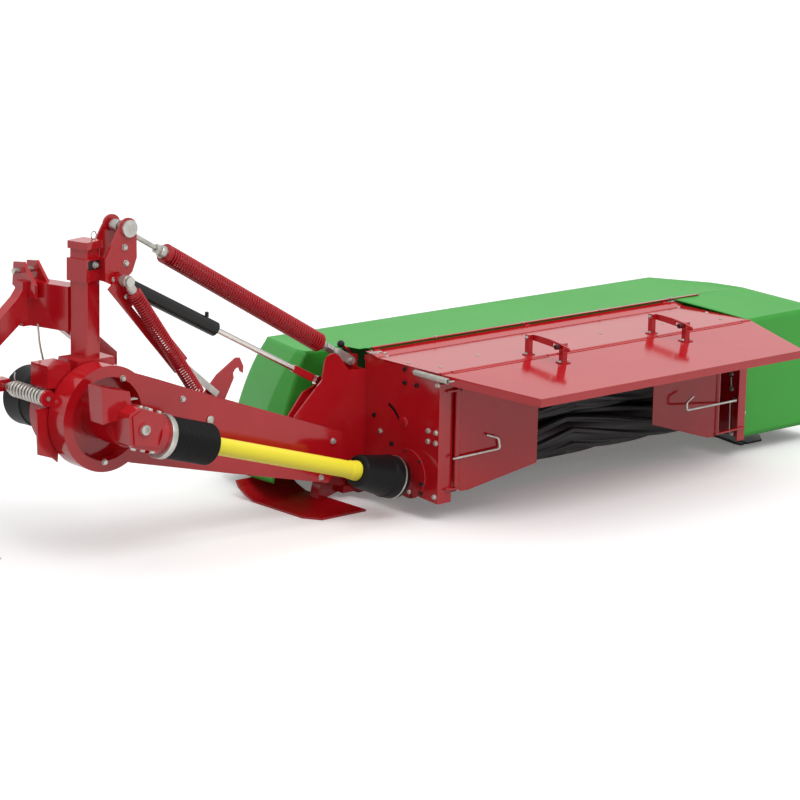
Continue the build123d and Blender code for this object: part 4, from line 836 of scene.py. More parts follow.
@dataclass
class Boom(Assembly):
    """Casing from the turret to the bed, with its gearbox and lock hook."""

    def build(self) -> None:
        """Dresses the boom and adds its fasteners."""
        p = self.paints
        self.dress(p.red, "boom", "boom_gearbox", "lock_hook")
        back = -Y
        rear = 395.0
        bolts = [
            (boom(x, rear, z), back)
            for x, z in ((150, 190), (148, 122), (478, 54), (52, -168), (1355, -267), (1286, -430))
        ]
        self.bolts("boom_bolts", Head.HEX, 13, bolts, "arm")
        disc = turned([(0, 9), (16, 9), (20, 6), (20, 0)], boom(632, rear, -64), back, 32)
        self.piece("boom_disc_head", disc, "arm", p.plate)
        # Painted shade: a thin black plate stands for the dark inside of the slot in the boom's dish.
        slot = [(12, -12), (28, -8), (22, 40), (8, 36)]
        self.piece("dish_slot_painted_shade", prism(slot, boom(84, 464, 14), X, Z, 3, 0.5), "arm", p.black)
        self.gearbox_trim()

    def gearbox_trim(self) -> None:
        """Plug in the gearbox's face, and the bolts round its cover."""
        p, back = self.paints, -Y
        face = boom(66, 126, 26)
        plug = turned([(31, 0), (31, 4), (23.5, 6), (23.5, 0)], face, back, 40)
        cap = turned(
            [(0, 8), (9, 8), (10, 12), (15, 12), (16.5, 16), (21, 16), (22.5, 14), (22.5, 0)], face, back,
            40,
        )
        self.piece("gearbox_boss", plug, "arm", p.red)
        self.piece("gearbox_plug", cap, "arm", p.plate)
        top = unit(np.array([49.0, 0, 133.0]))
        low = unit(np.array([-34.0, 0, -126.0]))
        high = [
            (boom(x, y, 123 - (x - 45) * 49 / 133), top)
            for x, y in ((62, 150), (62, 240), (112, 150), (160, 150), (160, 240))
        ]
        under = [(boom(x, 150, -50 - (x - 14) * 34 / 126), low) for x in (26, 74, 126)]
        self.bolts("gearbox_bolts", Head.HEX, 12, high + under, "arm")
        studs = [
            tube([boom(70, 226, 112), boom(70, 226, 146)], 6, 12),
            rounded_box(boom(38, 214, 138), boom(96, 240, 143), 1),
        ]
        self.piece("gearbox_bracket", studs, "arm", p.plate)


@dataclass
class DriveLine(Assembly):
    """Shaft from the boom's gearbox to the bed, with its guards."""

    start: Array = field(default_factory=lambda: boom(195, 200, -32))
    end: Array = field(default_factory=lambda: boom(1545, 200, -428))

    def at(self, distance: float) -> Array:
        """Point of the shaft's axis, millimetres past its upper joint."""
        return self.start + unit(self.end - self.start) * distance / 1000

    def build(self) -> None:
        """Guards of both joints with their collar, band and flare, and the tubes' finish."""
        p = self.paints
        self.dress(p.yellow, "shaft_tube", "shaft_inner_tube")
        self.input_flange()
        way = unit(self.end - self.start)
        self.piece("upper_bellows", self.bellows(34, 284, 16, 93.5, 5.5), "arm", p.guard, 50, ["guard_inner"])
        length = float(np.linalg.norm(self.end - self.start)) * 1000
        ring = [(48, -225), (66, -225), (74, -219)]
        cone = [(77 + 19 * t, -212 + 157 * t) for t in np.linspace(0, 1, 60)]
        mouth = [
            (100, -50), (100, 0), (98, 20), (92.5, 37.5), (87, 36), (93, 0), (93, -50), (68, -210),
            (48, -215), (48, -225),
        ]
        self.piece(
            "lower_cone", turned(ring + cone + mouth, self.at(length), way, 96), "shaft_l", p.guard, 50,
            ["guard_outer"],
        )
        band = turned([(100, 0), (102.2, 0), (102.2, 8), (99.8, 8), (100, 0)], self.at(length), way, 72)
        self.piece("guard_band", band, "shaft_l", p.plate)
        collar = turned(
            [(84.5, 0), (98, 0), (100, 3), (100, 27), (98, 30), (84.5, 30), (84.5, 0)], self.at(3), way, 72,
        )
        self.piece("bellows_collar", collar, "arm", p.plate)
        flare = [(40.2, -270), (43, -268), (43.5, -250), (47, -232), (47, -222), (40.2, -222), (40.2, -270)]
        self.piece("tube_flare", turned(flare, self.at(length), way, 72), "shaft_l", p.yellow)

    def input_flange(self) -> None:
        """Round flange on the bed where the lower guard ends, with its stub shaft and screws."""
        centre, way = bed(0, 200, 197), -X
        flange = turned(
            [(16, 0), (116.5, 0), (118, 1.5), (118, 3.5), (116.5, 5), (16, 5), (16, 0)], centre, way, 72,
        )
        stub = turned([(0, 4), (16, 4), (16, 78), (14.5, 80), (0, 80)], centre, way, 32)
        turns = np.linspace(0.3, 2 * math.pi + 0.3, 6, endpoint=False)
        heads = fasteners(
            Head.DOME, 8,
            [(centre + (-0.005, 0.108 * math.cos(a), 0.108 * math.sin(a)), way) for a in turns],
        )
        self.piece("input_flange", [flange, stub], "bed", self.paints.red, replaces=["bed_input"])
        self.piece("flange_screws", heads, "bed", self.paints.black)

    def bellows(self, low: float, high: float, ribs: int, radius: float, depth: float) -> Part:
        """Ribbed guard: its radius follows a flattened cosine along the shaft.

        Args:
            low, high: where it starts and ends, in millimetres past the upper joint.
            ribs: how many ribs it has.
            radius: over the ribs.
            depth: of the grooves.

        Returns:
            The guard as a closed shell, open at both ends.
        """
        t = np.linspace(0.0, 1.0, ribs * 10 + 1)
        wave = np.cos(2 * math.pi * ribs * t)
        outer = radius - depth * (0.5 + 0.5 * np.sign(wave) * np.abs(wave) ** 0.6)
        rings = list(zip(outer, (high - low) * t))
        inner = [(r - 5, h) for r, h in reversed(rings)]
        return turned(rings + inner + rings[:1], self.at(low), unit(self.end - self.start), 96)


@dataclass
class Balance(Assembly):
    """Balance springs, stop link and lift cylinder between the mast and the bed."""

    top: Array = field(default_factory=lambda: boom(259, 583, 823))
    low: Array = field(default_factory=lambda: bed(-50, 583, 677))
    knee: Array = field(default_factory=lambda: boom(205, 443, 606))
    seat: Array = field(default_factory=lambda: boom(588, 443, 71))

    def build(self) -> None:
        """Coils, rods and eyes of both springs, and the finish of link and cylinder."""
        p = self.paints
        self.dress(p.plate, "spring_rod", "stop_link_bar")
        self.dress(p.red, "stop_link")
        self.dress(p.black, "cylinder_barrel")
        self.dress(p.chrome, "cylinder_rod")
        self.long_spring()
        self.short_spring()
        self.rod_clevis()

    def long_spring(self) -> None:
        """Long coil between two bodies, attached to neither, and at each end its plug, nuts and rod or
        sleeve.
        """
        way = unit(self.low - self.top)
        length = float(np.linalg.norm(self.low - self.top))
        first, last = self.top + way * 0.3, self.top + way * (length - 0.215)
        coil = helix(first, last, 68, 40.5, 5.3, 8, 24)
        ends = [
            turned(
                [(22.5, -4), (44, -4), (45.5, 0), (45.5, 10), (34, 12), (34, 60), (22.5, 60), (22.5, -4)],
                first, way, 40,
            ),
            turned(
                [
                    (24.5, -60), (34, -60), (34, -12), (45.5, -10), (45.5, 0), (34, 4), (24.5, 4),
                    (24.5, -60),
                ],
                last, way, 40,
            ),
        ]
        coil_piece = self.piece(
            "long_coil", [coil, *ends], "spring_u", self.paints.spring, replaces=["long_spring"],
            rides=False,
        )
        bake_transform(coil_piece)
        rod = tube([self.top + way * 0.02, first + way * 0.02], 11.8, 20)
        plug = turned(
            [
                (12, -34), (22, -34), (28, -28), (30, -12), (30, -4), (20.5, -4), (20.5, 20), (12, 20),
                (12, -34),
            ],
            first, way, 32,
        )
        nut = turned([(12, -60), (21, -60), (23, -57), (23, -38), (21, -34), (12, -34)], first, way, 6)
        eye = turned(
            [(14.05, -24), (26, -24), (28, -22), (28, 22), (26, 24), (14.05, 24), (14.05, -24)], self.top,
            Y, 40,
        )
        self.piece(
            "long_spring_rod", [rod, plug, nut, eye], "spring_u", self.paints.plate,
            replaces=["spring_head"],
        )
        neck = turned([(12, 4), (23.5, 4), (23.5, 18), (16, 30), (12, 30)], last, way, 32)
        nuts = [
            turned([(12, a), (21, a), (22, a + 3), (22, a + 20), (12, a + 20)], last, way, 6)
            for a in (45, 69)
        ]
        sleeve = turned([(12, -118), (16, -118), (18.5, -112), (18.5, -52), (12, -50)], self.low, way, 28)
        self.piece("lower_plug", [neck, sleeve, *nuts], "spring_l", self.paints.plate)

    def short_spring(self) -> None:
        """Short coil beside the stop link, with its plug and eye."""
        way = unit(self.seat - self.knee)
        length = float(np.linalg.norm(self.seat - self.knee))
        first, last = self.knee + way * 0.07, self.knee + way * (length + 0.018)
        coil = helix(first, last, 46, 29, 4.7, 8, 22)
        cap = turned(
            [(12, -4), (30, -4), (31.8, 0), (31.8, 10), (22, 12), (22, 50), (12, 50)], first, way, 36,
        )
        self.piece("short_coil", [coil, cap], "spring_s", self.paints.spring, replaces=["short_spring"])
        plug = turned([(6, -46), (16, -46), (21, -30), (21, -6), (12, 0)], first, way, 32)
        eye = turned(
            [(14.05, -20), (24, -20), (26, -18), (26, 18), (24, 20), (14.05, 20), (14.05, -20)], self.knee,
            Y, 40,
        )
        self.piece("short_spring_eye", [plug, eye], "spring_s", self.paints.plate)
        link_bolts = [(boom(x, 484, 598 - (x - 173) * 418 / 367), -Y) for x in (236, 505)]
        self.bolts("link_bolts", Head.DOME, 11, link_bolts, "link")

    def rod_clevis(self) -> None:
        """Painted clevis that closes over the flat end of the cylinder's rod."""
        top, low = boom(205, 550, 606), bed(-264, 550, 610)
        way = unit(low - top)
        up = np.array([-way[2], 0.0, way[0]])
        side = [(0, -12), (8, -17), (135, -17), (135, 17), (8, 17), (0, 12)]
        block = prism(side, low - way * 0.177 + (0.0, 0.0135, 0.0), way, up, 27, 1.5)
        self.piece("rod_clevis", block, "rod", self.paints.red)


@dataclass
class Bed(Assembly):
    """Side plates, panel, flap, doors, rollers, cutterbar, shoes and their fasteners."""

    width: float = 2100.0
    lugs: int = 8

    def build(self) -> None:
        """Dresses the bed and adds what is fastened to it."""
        p = self.paints
        self.dress(
            p.red, "side_plate_left", "side_plate_right", "upper_panel", "top_beam", "tower", "rear_flap",
            "door_left", "door_right", "inner_shoe", "cutterbar", "flap_arcs", "flap_clamps",
            "adjuster_legs", "guard_rod", "flap_hinge_rod", "door_pin_left", "door_pin_right",
        )
        self.dress(p.black, "outer_shoe")
        self.dress(p.cast, *[f"disc_{i}" for i in range(1, 7)])
        self.plate_bolts()
        self.panel_bolts()
        self.flap_knobs()
        self.door_rods()
        self.tower_trim()
        self.flap_spring()
        self.right_column()
        self.latch()
        self.roller("upper_lugs", "roller_upper", "roller_u", 240, 434, 0.0)
        self.roller("lower_lugs", "roller_lower", "roller_l", 268, 221, math.pi / self.lugs)

    def plate_bolts(self) -> None:
        """Bolts of both side plates, a black plate painted as the shade behind the slot, and the cover of the
        upper roller's end.
        """
        left, right = -X, X
        bright = [(18, 426), (70, 426), (18, 377), (70, 377), (13, 651), (19, 122), (188, 112), (404, 361)]
        dark = [
            (114, 164), (112, 121), (448, 431), (321, 317), (241, 687), (239, 623), (164, 688), (157, 625),
        ]
        self.bolts("plate_bolts", Head.HEX, 12, [(bed(0, y, z), left) for y, z in bright], "bed")
        self.bolts(
            "plate_screws", Head.SOCKET, 13, [(bed(0, y, z), left) for y, z in dark], "bed",
            self.paints.black,
        )
        # Painted shade: a thin black plate inside the left plate stands for the shade seen through its slot.
        self.piece(
            "side_slot_painted_shade", rounded_box(bed(10.3, 268, 424), bed(12.3, 362, 512), 0.4), "bed",
            self.paints.black,
        )
        cover = turned([(0, 3), (24, 3), (26, 1.5), (26, 0)], bed(0, 240, 434), -X, 36)
        self.piece("roller_cover", cover, "bed", self.paints.red)
        self.bolts(
            "right_plate_bolts", Head.HEX, 12, [(bed(self.width, y, z), right) for y, z in bright[:6]],
            "bed",
        )

    def panel_bolts(self) -> None:
        """Low bolts in the panel, and the bolted rail behind the hood's rod with the sheet under it."""
        left = [(100, 104), (418, 195), (38, 256), (57, 432), (1256, 211)]
        panel = left + [(self.width - x, y) for x, y in left[:4]]
        self.bolts("panel_bolts", Head.DOME, 9, [(bed(x, y, 707), Z) for x, y in panel], "bed")
        lugs = [(bed(x, 526, 735), (0.0, -0.35, 1.0)) for x in (447, 1026, 1563, 2080)]
        self.bolts("rail_bolts", Head.HEX, 8, lugs, "bed")
        rail = [(0, 0), (14, 0), (14, 4), (0, 4)]
        strip = prism(rail, bed(45, 519, 731.5), Y, Z, 2245, 0.6)
        apron = [(0, 0.2), (84, 13.2), (84, 14.2), (0, 0.8)]
        edge = prism(apron, bed(4, 440, 707), Y, Z, 2092)
        self.piece("guard_rail", [strip, edge], "bed", self.paints.red)

    def flap_knobs(self) -> None:
        """Knobs, pivot nuts and foot studs of the two adjusters."""
        knobs, nuts, legs, feet = [], [], [], []
        grip = [(0, 0), (7, 0), (12, 3), (13.5, 9), (13.5, 14), (11, 20), (0, 22)]
        for x in (610.0, 1446.0):
            knobs.append(turned(grip, bed(x + 24, -122, 775), -X, 24))
            nuts.append((bed(x, 66, 790), -X))
            legs += [(bed(x - 4, 64, 712), Z), (bed(x + 29, 64, 712), Z)]
            feet += [(bed(x + 36, -122, 700), Z), (bed(x + 80, -122, 700), Z)]
        self.piece("clamp_knobs", knobs, "flap", self.paints.knob)
        self.bolts("clamp_feet", Head.HEX, 9, feet, "flap")
        self.bolts("leg_bolts", Head.HEX, 9, legs, "bed")
        self.bolts("pivot_nuts", Head.NUT, 9, nuts, "bed")

    def flap_spring(self) -> None:
        """Spring that holds the flap down, stretched along the left plate past the flap's hinge."""
        fixed, moving = bed(-20, 150, 690), bed(-20, -76, 688)
        coil = helix(fixed, moving, 44, 11.2, 2.5, 8, 18)
        ends = [
            tube([fixed + (0.02, 0.012, 0.0), fixed + (0.0, 0.012, 0.0), fixed + (0.0, -0.01, 0.0)], 4.5, 10),
            tube(
                [moving + (0.0, 0.01, 0.0), moving + (0.0, -0.012, 0.0), moving + (0.024, -0.012, 0.0)],
                4.5, 10,
            ),
        ]
        spring = self.piece("flap_spring", [coil, *ends], "bed", self.paints.plate, rides=False)
        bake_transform(spring)

    def right_column(self) -> None:
        """Bolts and the rod on the right plate's inner face, and the bolt on its outer flange."""
        face = self.width - 11.0
        bolts = [(bed(face, y, z), -X) for y, z in ((92, 416), (87, 340), (61, 285), (73, 110))]
        self.bolts("right_inner_bolts", Head.HEX, 12, bolts, "bed")
        rods = [
            tube([bed(face - 6, 88, a), bed(face - 6, 84, b)], 4.5, 10) for a, b in ((400, 352), (268, 130))
        ]
        self.piece("right_inner_rods", rods, "bed", self.paints.plate)
        head = placed(fastener(Head.DOME, 15), bed(self.width + 12, 21, 222), -Y)
        self.piece("wing_bolt", head, "bed", self.paints.plate)

    def latch(self) -> None:
        """Pin with its ring and short chain that holds the guard at the right plate."""
        ring = np.linspace(0.0, 2 * math.pi, 25)[:-1]
        hang = bed(2102, 522, 694)
        loop = hang + np.stack([0.012 * np.cos(ring), 0.0 * ring, 0.024 * np.sin(ring)], -1)
        links = []
        for i in range(7):
            centre = bed(2034 + 16 * i, 524 - 3 * i, 722 - 3 * abs(i - 3))
            flat, tall = (0.011 * np.cos(ring), 0.005 * np.sin(ring)), 0.0 * ring
            side = (flat[1], tall) if i % 2 else (tall, flat[1])
            links.append(
                tube(centre + np.stack([flat[0], side[0], side[1]], -1), 1.9, 6, Z if i % 2 else Y, True)
            )
        pin = tube([bed(2102, 516, 718), bed(2102, 548, 735)], 4.5, 10)
        self.piece("guard_latch", [tube(loop, 2.4, 8, Y, True), pin, *links], "bed", self.paints.plate)

    def tower_trim(self) -> None:
        """Ball knob on its lever beside the tower, and the bright pins at the inner end of the rail."""
        p = self.paints
        turn = np.linspace(-0.5 * math.pi, 0.5 * math.pi, 13)
        ball = turned([(18 * math.cos(a), 18 * math.sin(a)) for a in turn], bed(-48, 643, 743), Z, 28)
        self.piece("tower_knob", ball, "bed", p.knob)
        self.piece("tower_lever", tube([bed(-42, 642, 738), bed(10, 636, 698)], 6, 12), "bed", p.red)
        pins = [
            tube([bed(6, 500, 716), bed(74, 492, 716)], 5.5, 14),
            tube([bed(12, 470, 713), bed(30, 512, 722)], 4, 10),
        ]
        heads = fasteners(Head.HEX, 11, [(bed(38, 482, 708), Z), (bed(74, 470, 708), Z)])
        self.piece("rail_pins", [*pins, heads], "bed", p.plate)

    def door_rods(self) -> None:
        """Rods that set the swath doors, each along its door, and the strip behind the left door's hinge."""
        left = rounded_path(
            [bed(70, -24, 301), bed(292, -103, 334), bed(284, -101, 384), bed(226, -82, 404)], 12,
        )
        self.piece("door_rod_left", tube(left, 5.5, 12, (0.0, 1.0, 0.1)), "door_l", self.paints.plate)
        self.piece("door_seal", rounded_box(bed(58, 12, 130), bed(128, 14, 640), 0.5), "bed", self.paints.red)
        right = rounded_path(
            [bed(2000, -24, 311), bed(1610, -52, 320), bed(1608, -52, 361), bed(1656, -50, 385)], 12,
        )
        self.piece("door_rod_right", tube(right, 5.5, 12, (0.0, 1.0, 0.1)), "door_r", self.paints.plate)

    def roller(self, name: str, node: str, body: str, y: float, z: float, phase: float) -> None:
        """Rubber roller whose radius rises over lugs that wind in opposite hands from the middle.

        With a the angle less the winding at that place, the lug's share is a smooth pulse of cos(lugs * a),
        and the radius is core + share * height.

        Args:
            name: the piece's name.
            node: the CAD node it stands for.
            body: the body that turns.
            y, z: its axis on the bed, in millimetres.
            phase: turn of the whole pattern, in radians.
        """
        half, twist, middle = 1006.0, math.radians(118), 1050.0
        core, height, end = 84.0, 20.5, 80.0
        x = np.concatenate([-np.linspace(1, 0, 90, endpoint=False), np.linspace(0, 1, 91)]) * half
        angle = np.linspace(0, 2 * math.pi, 192, endpoint=False)
        wound = angle[None, :] - np.abs(x)[:, None] / half * twist - phase
        pulse = np.clip((np.cos(self.lugs * wound) - 0.25) / 0.5, 0, 1)
        share = pulse * pulse * (3 - 2 * pulse)
        radius = core + height * share
        radius[[0, -1]] = end
        along = middle + np.broadcast_to(x[:, None], radius.shape)
        points = np.stack([along, y + radius * np.cos(angle), z + radius * np.sin(angle)], -1)
        skin = grid((FRAME_SHIFT + points) / 1000, wrap_columns=True, cap=True)
        shafts = [tube([bed(a, y, z), bed(b, y, z)], 21.9, 28) for a, b in ((0.5, 60), (2040, 2099.5))]
        self.piece(name, [skin, *shafts], body, self.paints.rubber, 60, [node])


def corner_line(share: Array, marks: Sequence[float], corners: Sequence[tuple[float, float]]) -> Array:
    """Points of a line through corners.

    Args:
        share: where the points lie, from 0 at its start to 1 at its end.
        marks: where its corners lie, counted the same way.
        corners: x and y of the corners.

    Returns:
        The points' x and y.
    """
    return np.stack([np.interp(share, marks, values) for values in np.array(corners, float).T], -1)


def between(first: Array, last: Array | float, share: Array) -> Array:
    """Values at a share of the way from the first to the last."""
    return first * (1 - share) + last * share


@dataclass
class Guard(Assembly):
    """Canvas guard over the discs: the hood on its rod, and the fixed wing at the far end.

    Its measures are in millimetres on the bed. The flare moves the skirt's foot at the hood's inner end; it
    builds up over a share of the drop and fades out along a share of the outline.
    """

    seam: float = 556.0
    depth: float = 553.0
    rise: tuple[float, float] = (728.5, 706.5)
    bottom: float = 96.0
    flare: tuple[float, float] = (-69.0, 53.0)
    flare_drop: float = 0.3
    flare_end: float = 0.14
    flare_fade: float = 0.09
    lap: float = 21.6
    lean: float = 85.0

    def top_height(self, y: Array) -> Array:
        """Height of the hood's top, in millimetres, which falls from its rear seam to its front edge."""
        return self.rise[0] + (self.rise[1] - self.rise[0]) * np.clip((y - self.seam) / self.depth, 0, 1)

    def build(self) -> None:
        """Sleeve round the rod, the hood with its end wall, and the wing."""
        hem = self.hem()
        self.hood(hem)
        self.wing()

    def hem(self) -> bpy.types.Object:
        """Sleeve of the hood that is sewn round its rod, in a darker green that is painted shade on the
        hood's rear lip.
        """
        sleeve = tube([bed(44, 536, 722), bed(2290, 536, 722)], 10.5, 20)
        return self.piece("hood_hem", sleeve, "hood", self.paints.hem)

    def cloth(
        self,
        name: str,
        points: Array,
        body: str,
        node: str,
        flat: tuple[float, float],
        rests: Sequence[str],
        sewn: Sequence[bpy.types.Object] = (),
    ) -> None:
        """Args:
            name: the sheet's name.
            points: rows by columns by 3, in metres.
            body: the body it rides on.
            node: the CAD node it stands for, empty where there is none.
            flat: width and length it is cut from, in metres; not used.
            rests: what it lies on; not used.
            sewn: pieces that go with it; not used.
        """
        rows, columns = points.shape[:2]
        steps = [np.linalg.norm(np.diff(points, axis=axis), axis=2) for axis in (0, 1)]
        across = np.concatenate([np.zeros((rows, 1)), np.cumsum(steps[1], axis=1)], 1)
        along = np.concatenate([np.zeros((1, columns)), np.cumsum(steps[0], axis=0)], 0)
        mesh = bpy.data.meshes.new(name)
        mesh.from_pydata(points.reshape(-1, 3), [], grid_faces(rows, columns))
        corners = np.zeros(len(mesh.loops), np.int32)
        mesh.loops.foreach_get("vertex_index", corners)
        layer = mesh.uv_layers.new(name="cut")
        layer.data.foreach_set("uv", np.stack([across, along], -1).reshape(-1, 2)[corners].ravel())
        mesh.shade_smooth()
        mesh.materials.append(self.paints.canvas.material)
        thing = bpy.data.objects.new(name, mesh)
        bpy.context.scene.collection.objects.link(thing)
        thick = thing.modifiers.new("cloth thickness", "SOLIDIFY")
        thick.thickness, thick.offset = 0.002, -1.0
        edges = np.linalg.norm(
            np.cross(points[1:, :-1] - points[:-1, :-1], points[:-1, 1:] - points[:-1, :-1]), axis=2,
        )
        other = np.linalg.norm(
            np.cross(points[1:, 1:] - points[1:, :-1], points[1:, 1:] - points[:-1, 1:]), axis=2,
        )
        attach(thing, body)
        if node:
            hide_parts(node)

    def hood(self, hem: bpy.types.Object) -> None:
        """Hood: ruled lines from its rear edge to the rim and down a skirt that flares at the inner end.

        A wall closes it beside the tower. All of it is laid out on the bed in millimetres.

        Args:
            hem: the sleeve round the rod at its rear edge.
        """
        rear = [
            (-226, 679), (-6, 679), (-6, 556.5), (36, 556.5), (44, 537), (2290, 537), (2300, 549.5),
            (2639, 549.5),
        ]
        rim = [
            (-226, 679), (-226, 752), (-114, 1109), (-6, 1109), (1200, 1109), (2528, 1109), (2640, 752),
            (2640, 549.5),
        ]
        foot = [
            (-311, 679), (-311, 880), (-165, 1236), (-20, 1236), (1200, 1236), (2579, 1236), (2725, 880),
            (2725, 549.5),
        ]
        marks_rear = [0.0, 0.05, 0.074, 0.084, 0.088, 0.9, 0.905, 1.0]
        marks_rim = [0.0, 0.015, 0.044, 0.05, 0.5, 0.87, 0.955, 1.0]
        s = np.unique(
            np.concatenate([np.linspace(0, 0.05, 29), np.linspace(0.05, 1, 191), marks_rim, marks_rear])
        )
        back = corner_line(s, marks_rear, rear)
        edge, low = corner_line(s, marks_rim, rim), corner_line(s, marks_rim, foot)
        t = np.linspace(0, 1, 25)[None, :, None]
        flat = between(back[:, None], edge[:, None], t)
        sag = np.sin(np.pi * t[..., 0]) * (2.0 + 3.0 * np.sin(7 * s + 1)[:, None] ** 2)
        top = np.concatenate([flat, (self.top_height(flat[..., 1]) - sag)[..., None]], -1)
        d = np.linspace(0, 1, 31)[1:][None, :, None]
        skirt = between(edge[:, None], low[:, None], d)
        drop = between(self.top_height(edge[:, 1])[:, None], self.bottom, d[..., 0])
        out = low - edge
        out = out / np.maximum(np.linalg.norm(out, axis=1, keepdims=True), 1e-6)
        wave = 3.0 * d * (np.sin(46 * s + 0.6) + 0.6 * np.sin(23 * s))[:, None, None]
        skirt = skirt + out[:, None] * np.clip(wave - 4, -9, 3)
        full = 1.0 - np.exp(-d[0, :, 0] / self.flare_drop)
        near = np.clip((self.flare_end - s) / self.flare_fade, 0, 1)
        skirt = skirt + (near[:, None] * full[None])[..., None] * np.array(self.flare)
        side = np.concatenate([skirt, drop[..., None]], -1)
        points = np.concatenate([top, side], 1)
        self.cloth(
            "canvas_hood_sheet", (FRAME_SHIFT + points) / 1000, "hood", "canvas_hood", (4.7, 1.5),
            ["guard_rod"], [hem],
        )
        hung = points[0, 24:47]
        stop = np.stack([np.full(len(hung), -6.0), np.full(len(hung), 680.0), hung[:, 2]], -1)
        u = np.linspace(0, 1, 13)[:, None, None]
        wall = between(hung[None], stop[None], u)
        self.cloth(
            "canvas_hood_end", (FRAME_SHIFT + wall) / 1000, "hood", "", (0.4, 0.45), ["canvas_hood_sheet"],
        )

    def wing(self) -> None:
        """Wing: a top that rises to meet the hood, a straight rear skirt and an outer one that leans."""
        inner, rear, outer, depth = 2101, 23, 2639, 525
        marks = [0.0, 0.5, 1.0]
        s = np.linspace(0, 1, 81)
        edge = corner_line(s, marks, [(inner, rear), (outer, rear), (outer, rear + depth)])
        foot = outer + self.lean
        low = corner_line(s, marks, [(inner, rear), (foot, rear), (foot, rear + depth)])
        back = np.stack([np.full_like(s, inner), rear + depth * s], -1)
        t = np.linspace(0, 1, 17)[None, :, None]
        flat = between(back[:, None], edge[:, None], t)
        height = self.rise[1] + self.lap * (flat[..., 1:] - rear) / depth
        top = np.concatenate([flat, height - 2 * np.sin(np.pi * t)], -1)
        d = np.linspace(0, 1, 25)[1:][None, :, None]
        skirt = between(edge[:, None], low[:, None], d)
        drop = between(self.rise[1] + self.lap * (edge[:, None, 1:] - rear) / depth, self.bottom, d)
        points = np.concatenate([top, np.concatenate([skirt, drop], -1)], 1)
        self.cloth(
            "canvas_wing_sheet", (FRAME_SHIFT + points) / 1000, "bed", "canvas_wing", (1.3, 1.2),
            ["side_plate_right"],
        )


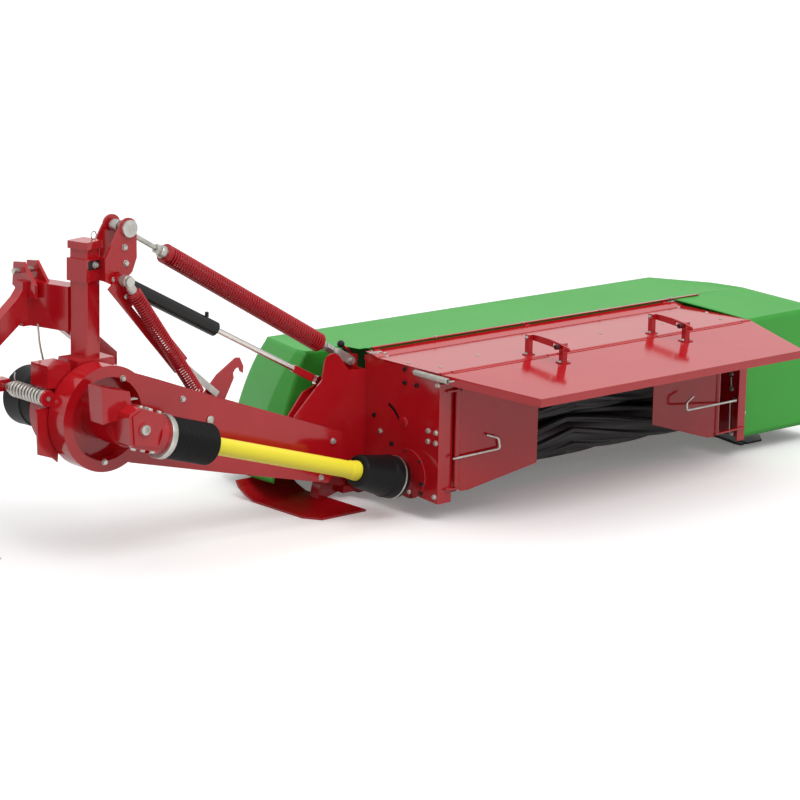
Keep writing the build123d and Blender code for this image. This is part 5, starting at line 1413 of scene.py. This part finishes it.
@dataclass
class Studio:
    """Pale floor, plain light and the camera of the photograph."""

    eye: tuple[float, float, float] = (-7.508, -10.835, 3.077)
    yaw: float = 41.9
    pitch: float = 13.0
    roll: float = -1.2
    focal_px: float = 3032.0
    photo_px: float = 800.0
    sensor_mm: float = 36.0
    floor_height: float = -0.6255
    floor_half: float = 60.0
    horizon: float = 0.2
    overhead: float = 0.95

    def build(self) -> None:
        """Floor, world, lamps and camera."""
        self.floor()
        self.world()
        self.lamp("key", (-0.1, -0.75, 1.0), 0.95, 30.0)
        self.camera()

    def floor(self) -> None:
        """Wide pale floor that keeps the machine's shadow."""
        s = Shader("studio_floor")
        seen = s.seen()
        tone = s.noise(s.place(), 0.4, 2.0)
        pale = s.mix(tone, (0.94, 0.94, 0.94, 1.0), (0.97, 0.97, 0.97, 1.0))
        colour = s.mix(seen, (0.45, 0.45, 0.45, 1.0), pale)
        lift = s.mix(seen, (0.0, 0.0, 0.0, 1.0), (0.16, 0.16, 0.16, 1.0))
        finish = s.surface(
            Base_Color=colour, Roughness=0.9, Specular_IOR_Level=0.0, Emission_Color=lift,
            Emission_Strength=1.0,
        )
        across = np.linspace(-self.floor_half, self.floor_half, 9)
        x, y = np.meshgrid(across, across, indexing="ij")
        points = np.stack([x, y, np.full_like(x, self.floor_height)], -1)
        mesh = bpy.data.meshes.new("studio_floor")
        mesh.from_pydata(points.reshape(-1, 3), [], grid_faces(9, 9))
        mesh.materials.append(finish)
        ground = bpy.data.objects.new("studio_floor", mesh)
        bpy.context.scene.collection.objects.link(ground)

    def world(self) -> None:
        """Pale surroundings: white where they are seen, and as light a dome that is brightest overhead."""
        world = bpy.data.worlds.new("studio")
        world.use_nodes = True
        bpy.context.scene.world = world
        dome = Shader("studio", world.node_tree)
        way = dome.node(
            "ShaderNodeSeparateXYZ", {}, {"Vector": dome.value("ShaderNodeTexCoord", "Generated")},
        )
        height = Term(dome, way.outputs["Z"]).band(-0.05, 1.05)
        strength = height * self.overhead + self.horizon
        light = dome.node("ShaderNodeBackground", {}, {"Color": WHITE, "Strength": strength})
        white = dome.node("ShaderNodeBackground", {}, {"Color": WHITE, "Strength": 1.0})
        either = dome.node(
            "ShaderNodeMixShader", {}, {0: dome.seen(), 1: light.outputs[0], 2: white.outputs[0]},
        )
        dome.node("ShaderNodeOutputWorld", {}, {"Surface": either.outputs[0]})

    def lamp(self, name: str, toward: tuple[float, float, float], strength: float, spread: float) -> None:
        """A broad sun that shines from a direction.

        Args:
            name: the lamp's name.
            toward: from the object to the lamp.
            strength: its strength.
            spread: its size in the sky, in degrees.
        """
        sun = bpy.data.lights.new(name, "SUN")
        sun.energy, sun.angle = strength, math.radians(spread)
        thing = bpy.data.objects.new(name, sun)
        thing.rotation_euler = Vector(toward).to_track_quat("Z", "Y").to_euler()
        bpy.context.scene.collection.objects.link(thing)

    def camera(self) -> None:
        """Camera that looks as the photograph's did."""
        a, e, r = (math.radians(v) for v in (self.yaw, self.pitch, self.roll))
        ahead = np.array([math.sin(a) * math.cos(e), math.cos(a) * math.cos(e), -math.sin(e)])
        right = np.array([math.cos(a), -math.sin(a), 0.0])
        down = np.cross(ahead, right)
        side = right * math.cos(r) + down * math.sin(r)
        below = -right * math.sin(r) + down * math.cos(r)
        turn = Matrix(np.stack([side, -below, -ahead], 1).tolist())
        lens = bpy.data.cameras.new("photo_camera")
        lens.sensor_width = self.sensor_mm
        lens.lens = self.focal_px / self.photo_px * self.sensor_mm
        lens.clip_end = 400.0
        thing = bpy.data.objects.new("photo_camera", lens)
        thing.matrix_world = Matrix.Translation(self.eye) @ turn.to_4x4()
        bpy.context.scene.collection.objects.link(thing)
        bpy.context.scene.camera = thing


def main() -> None:
    """Loads the frame, dresses each assembly and sets the studio."""
    logging.basicConfig(level=logging.INFO, format="%(message)s")
    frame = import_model()
    paints = Paints()
    for assembly in (Hitch, Boom, DriveLine, Balance, Bed, Guard):
        assembly(paints, frame["nodes"]).build()
        log.info("%s is dressed", assembly.__name__)
    Studio().build()
    bpy.context.scene.view_settings.view_transform = "Standard"


if __name__ == "__main__":
    main()
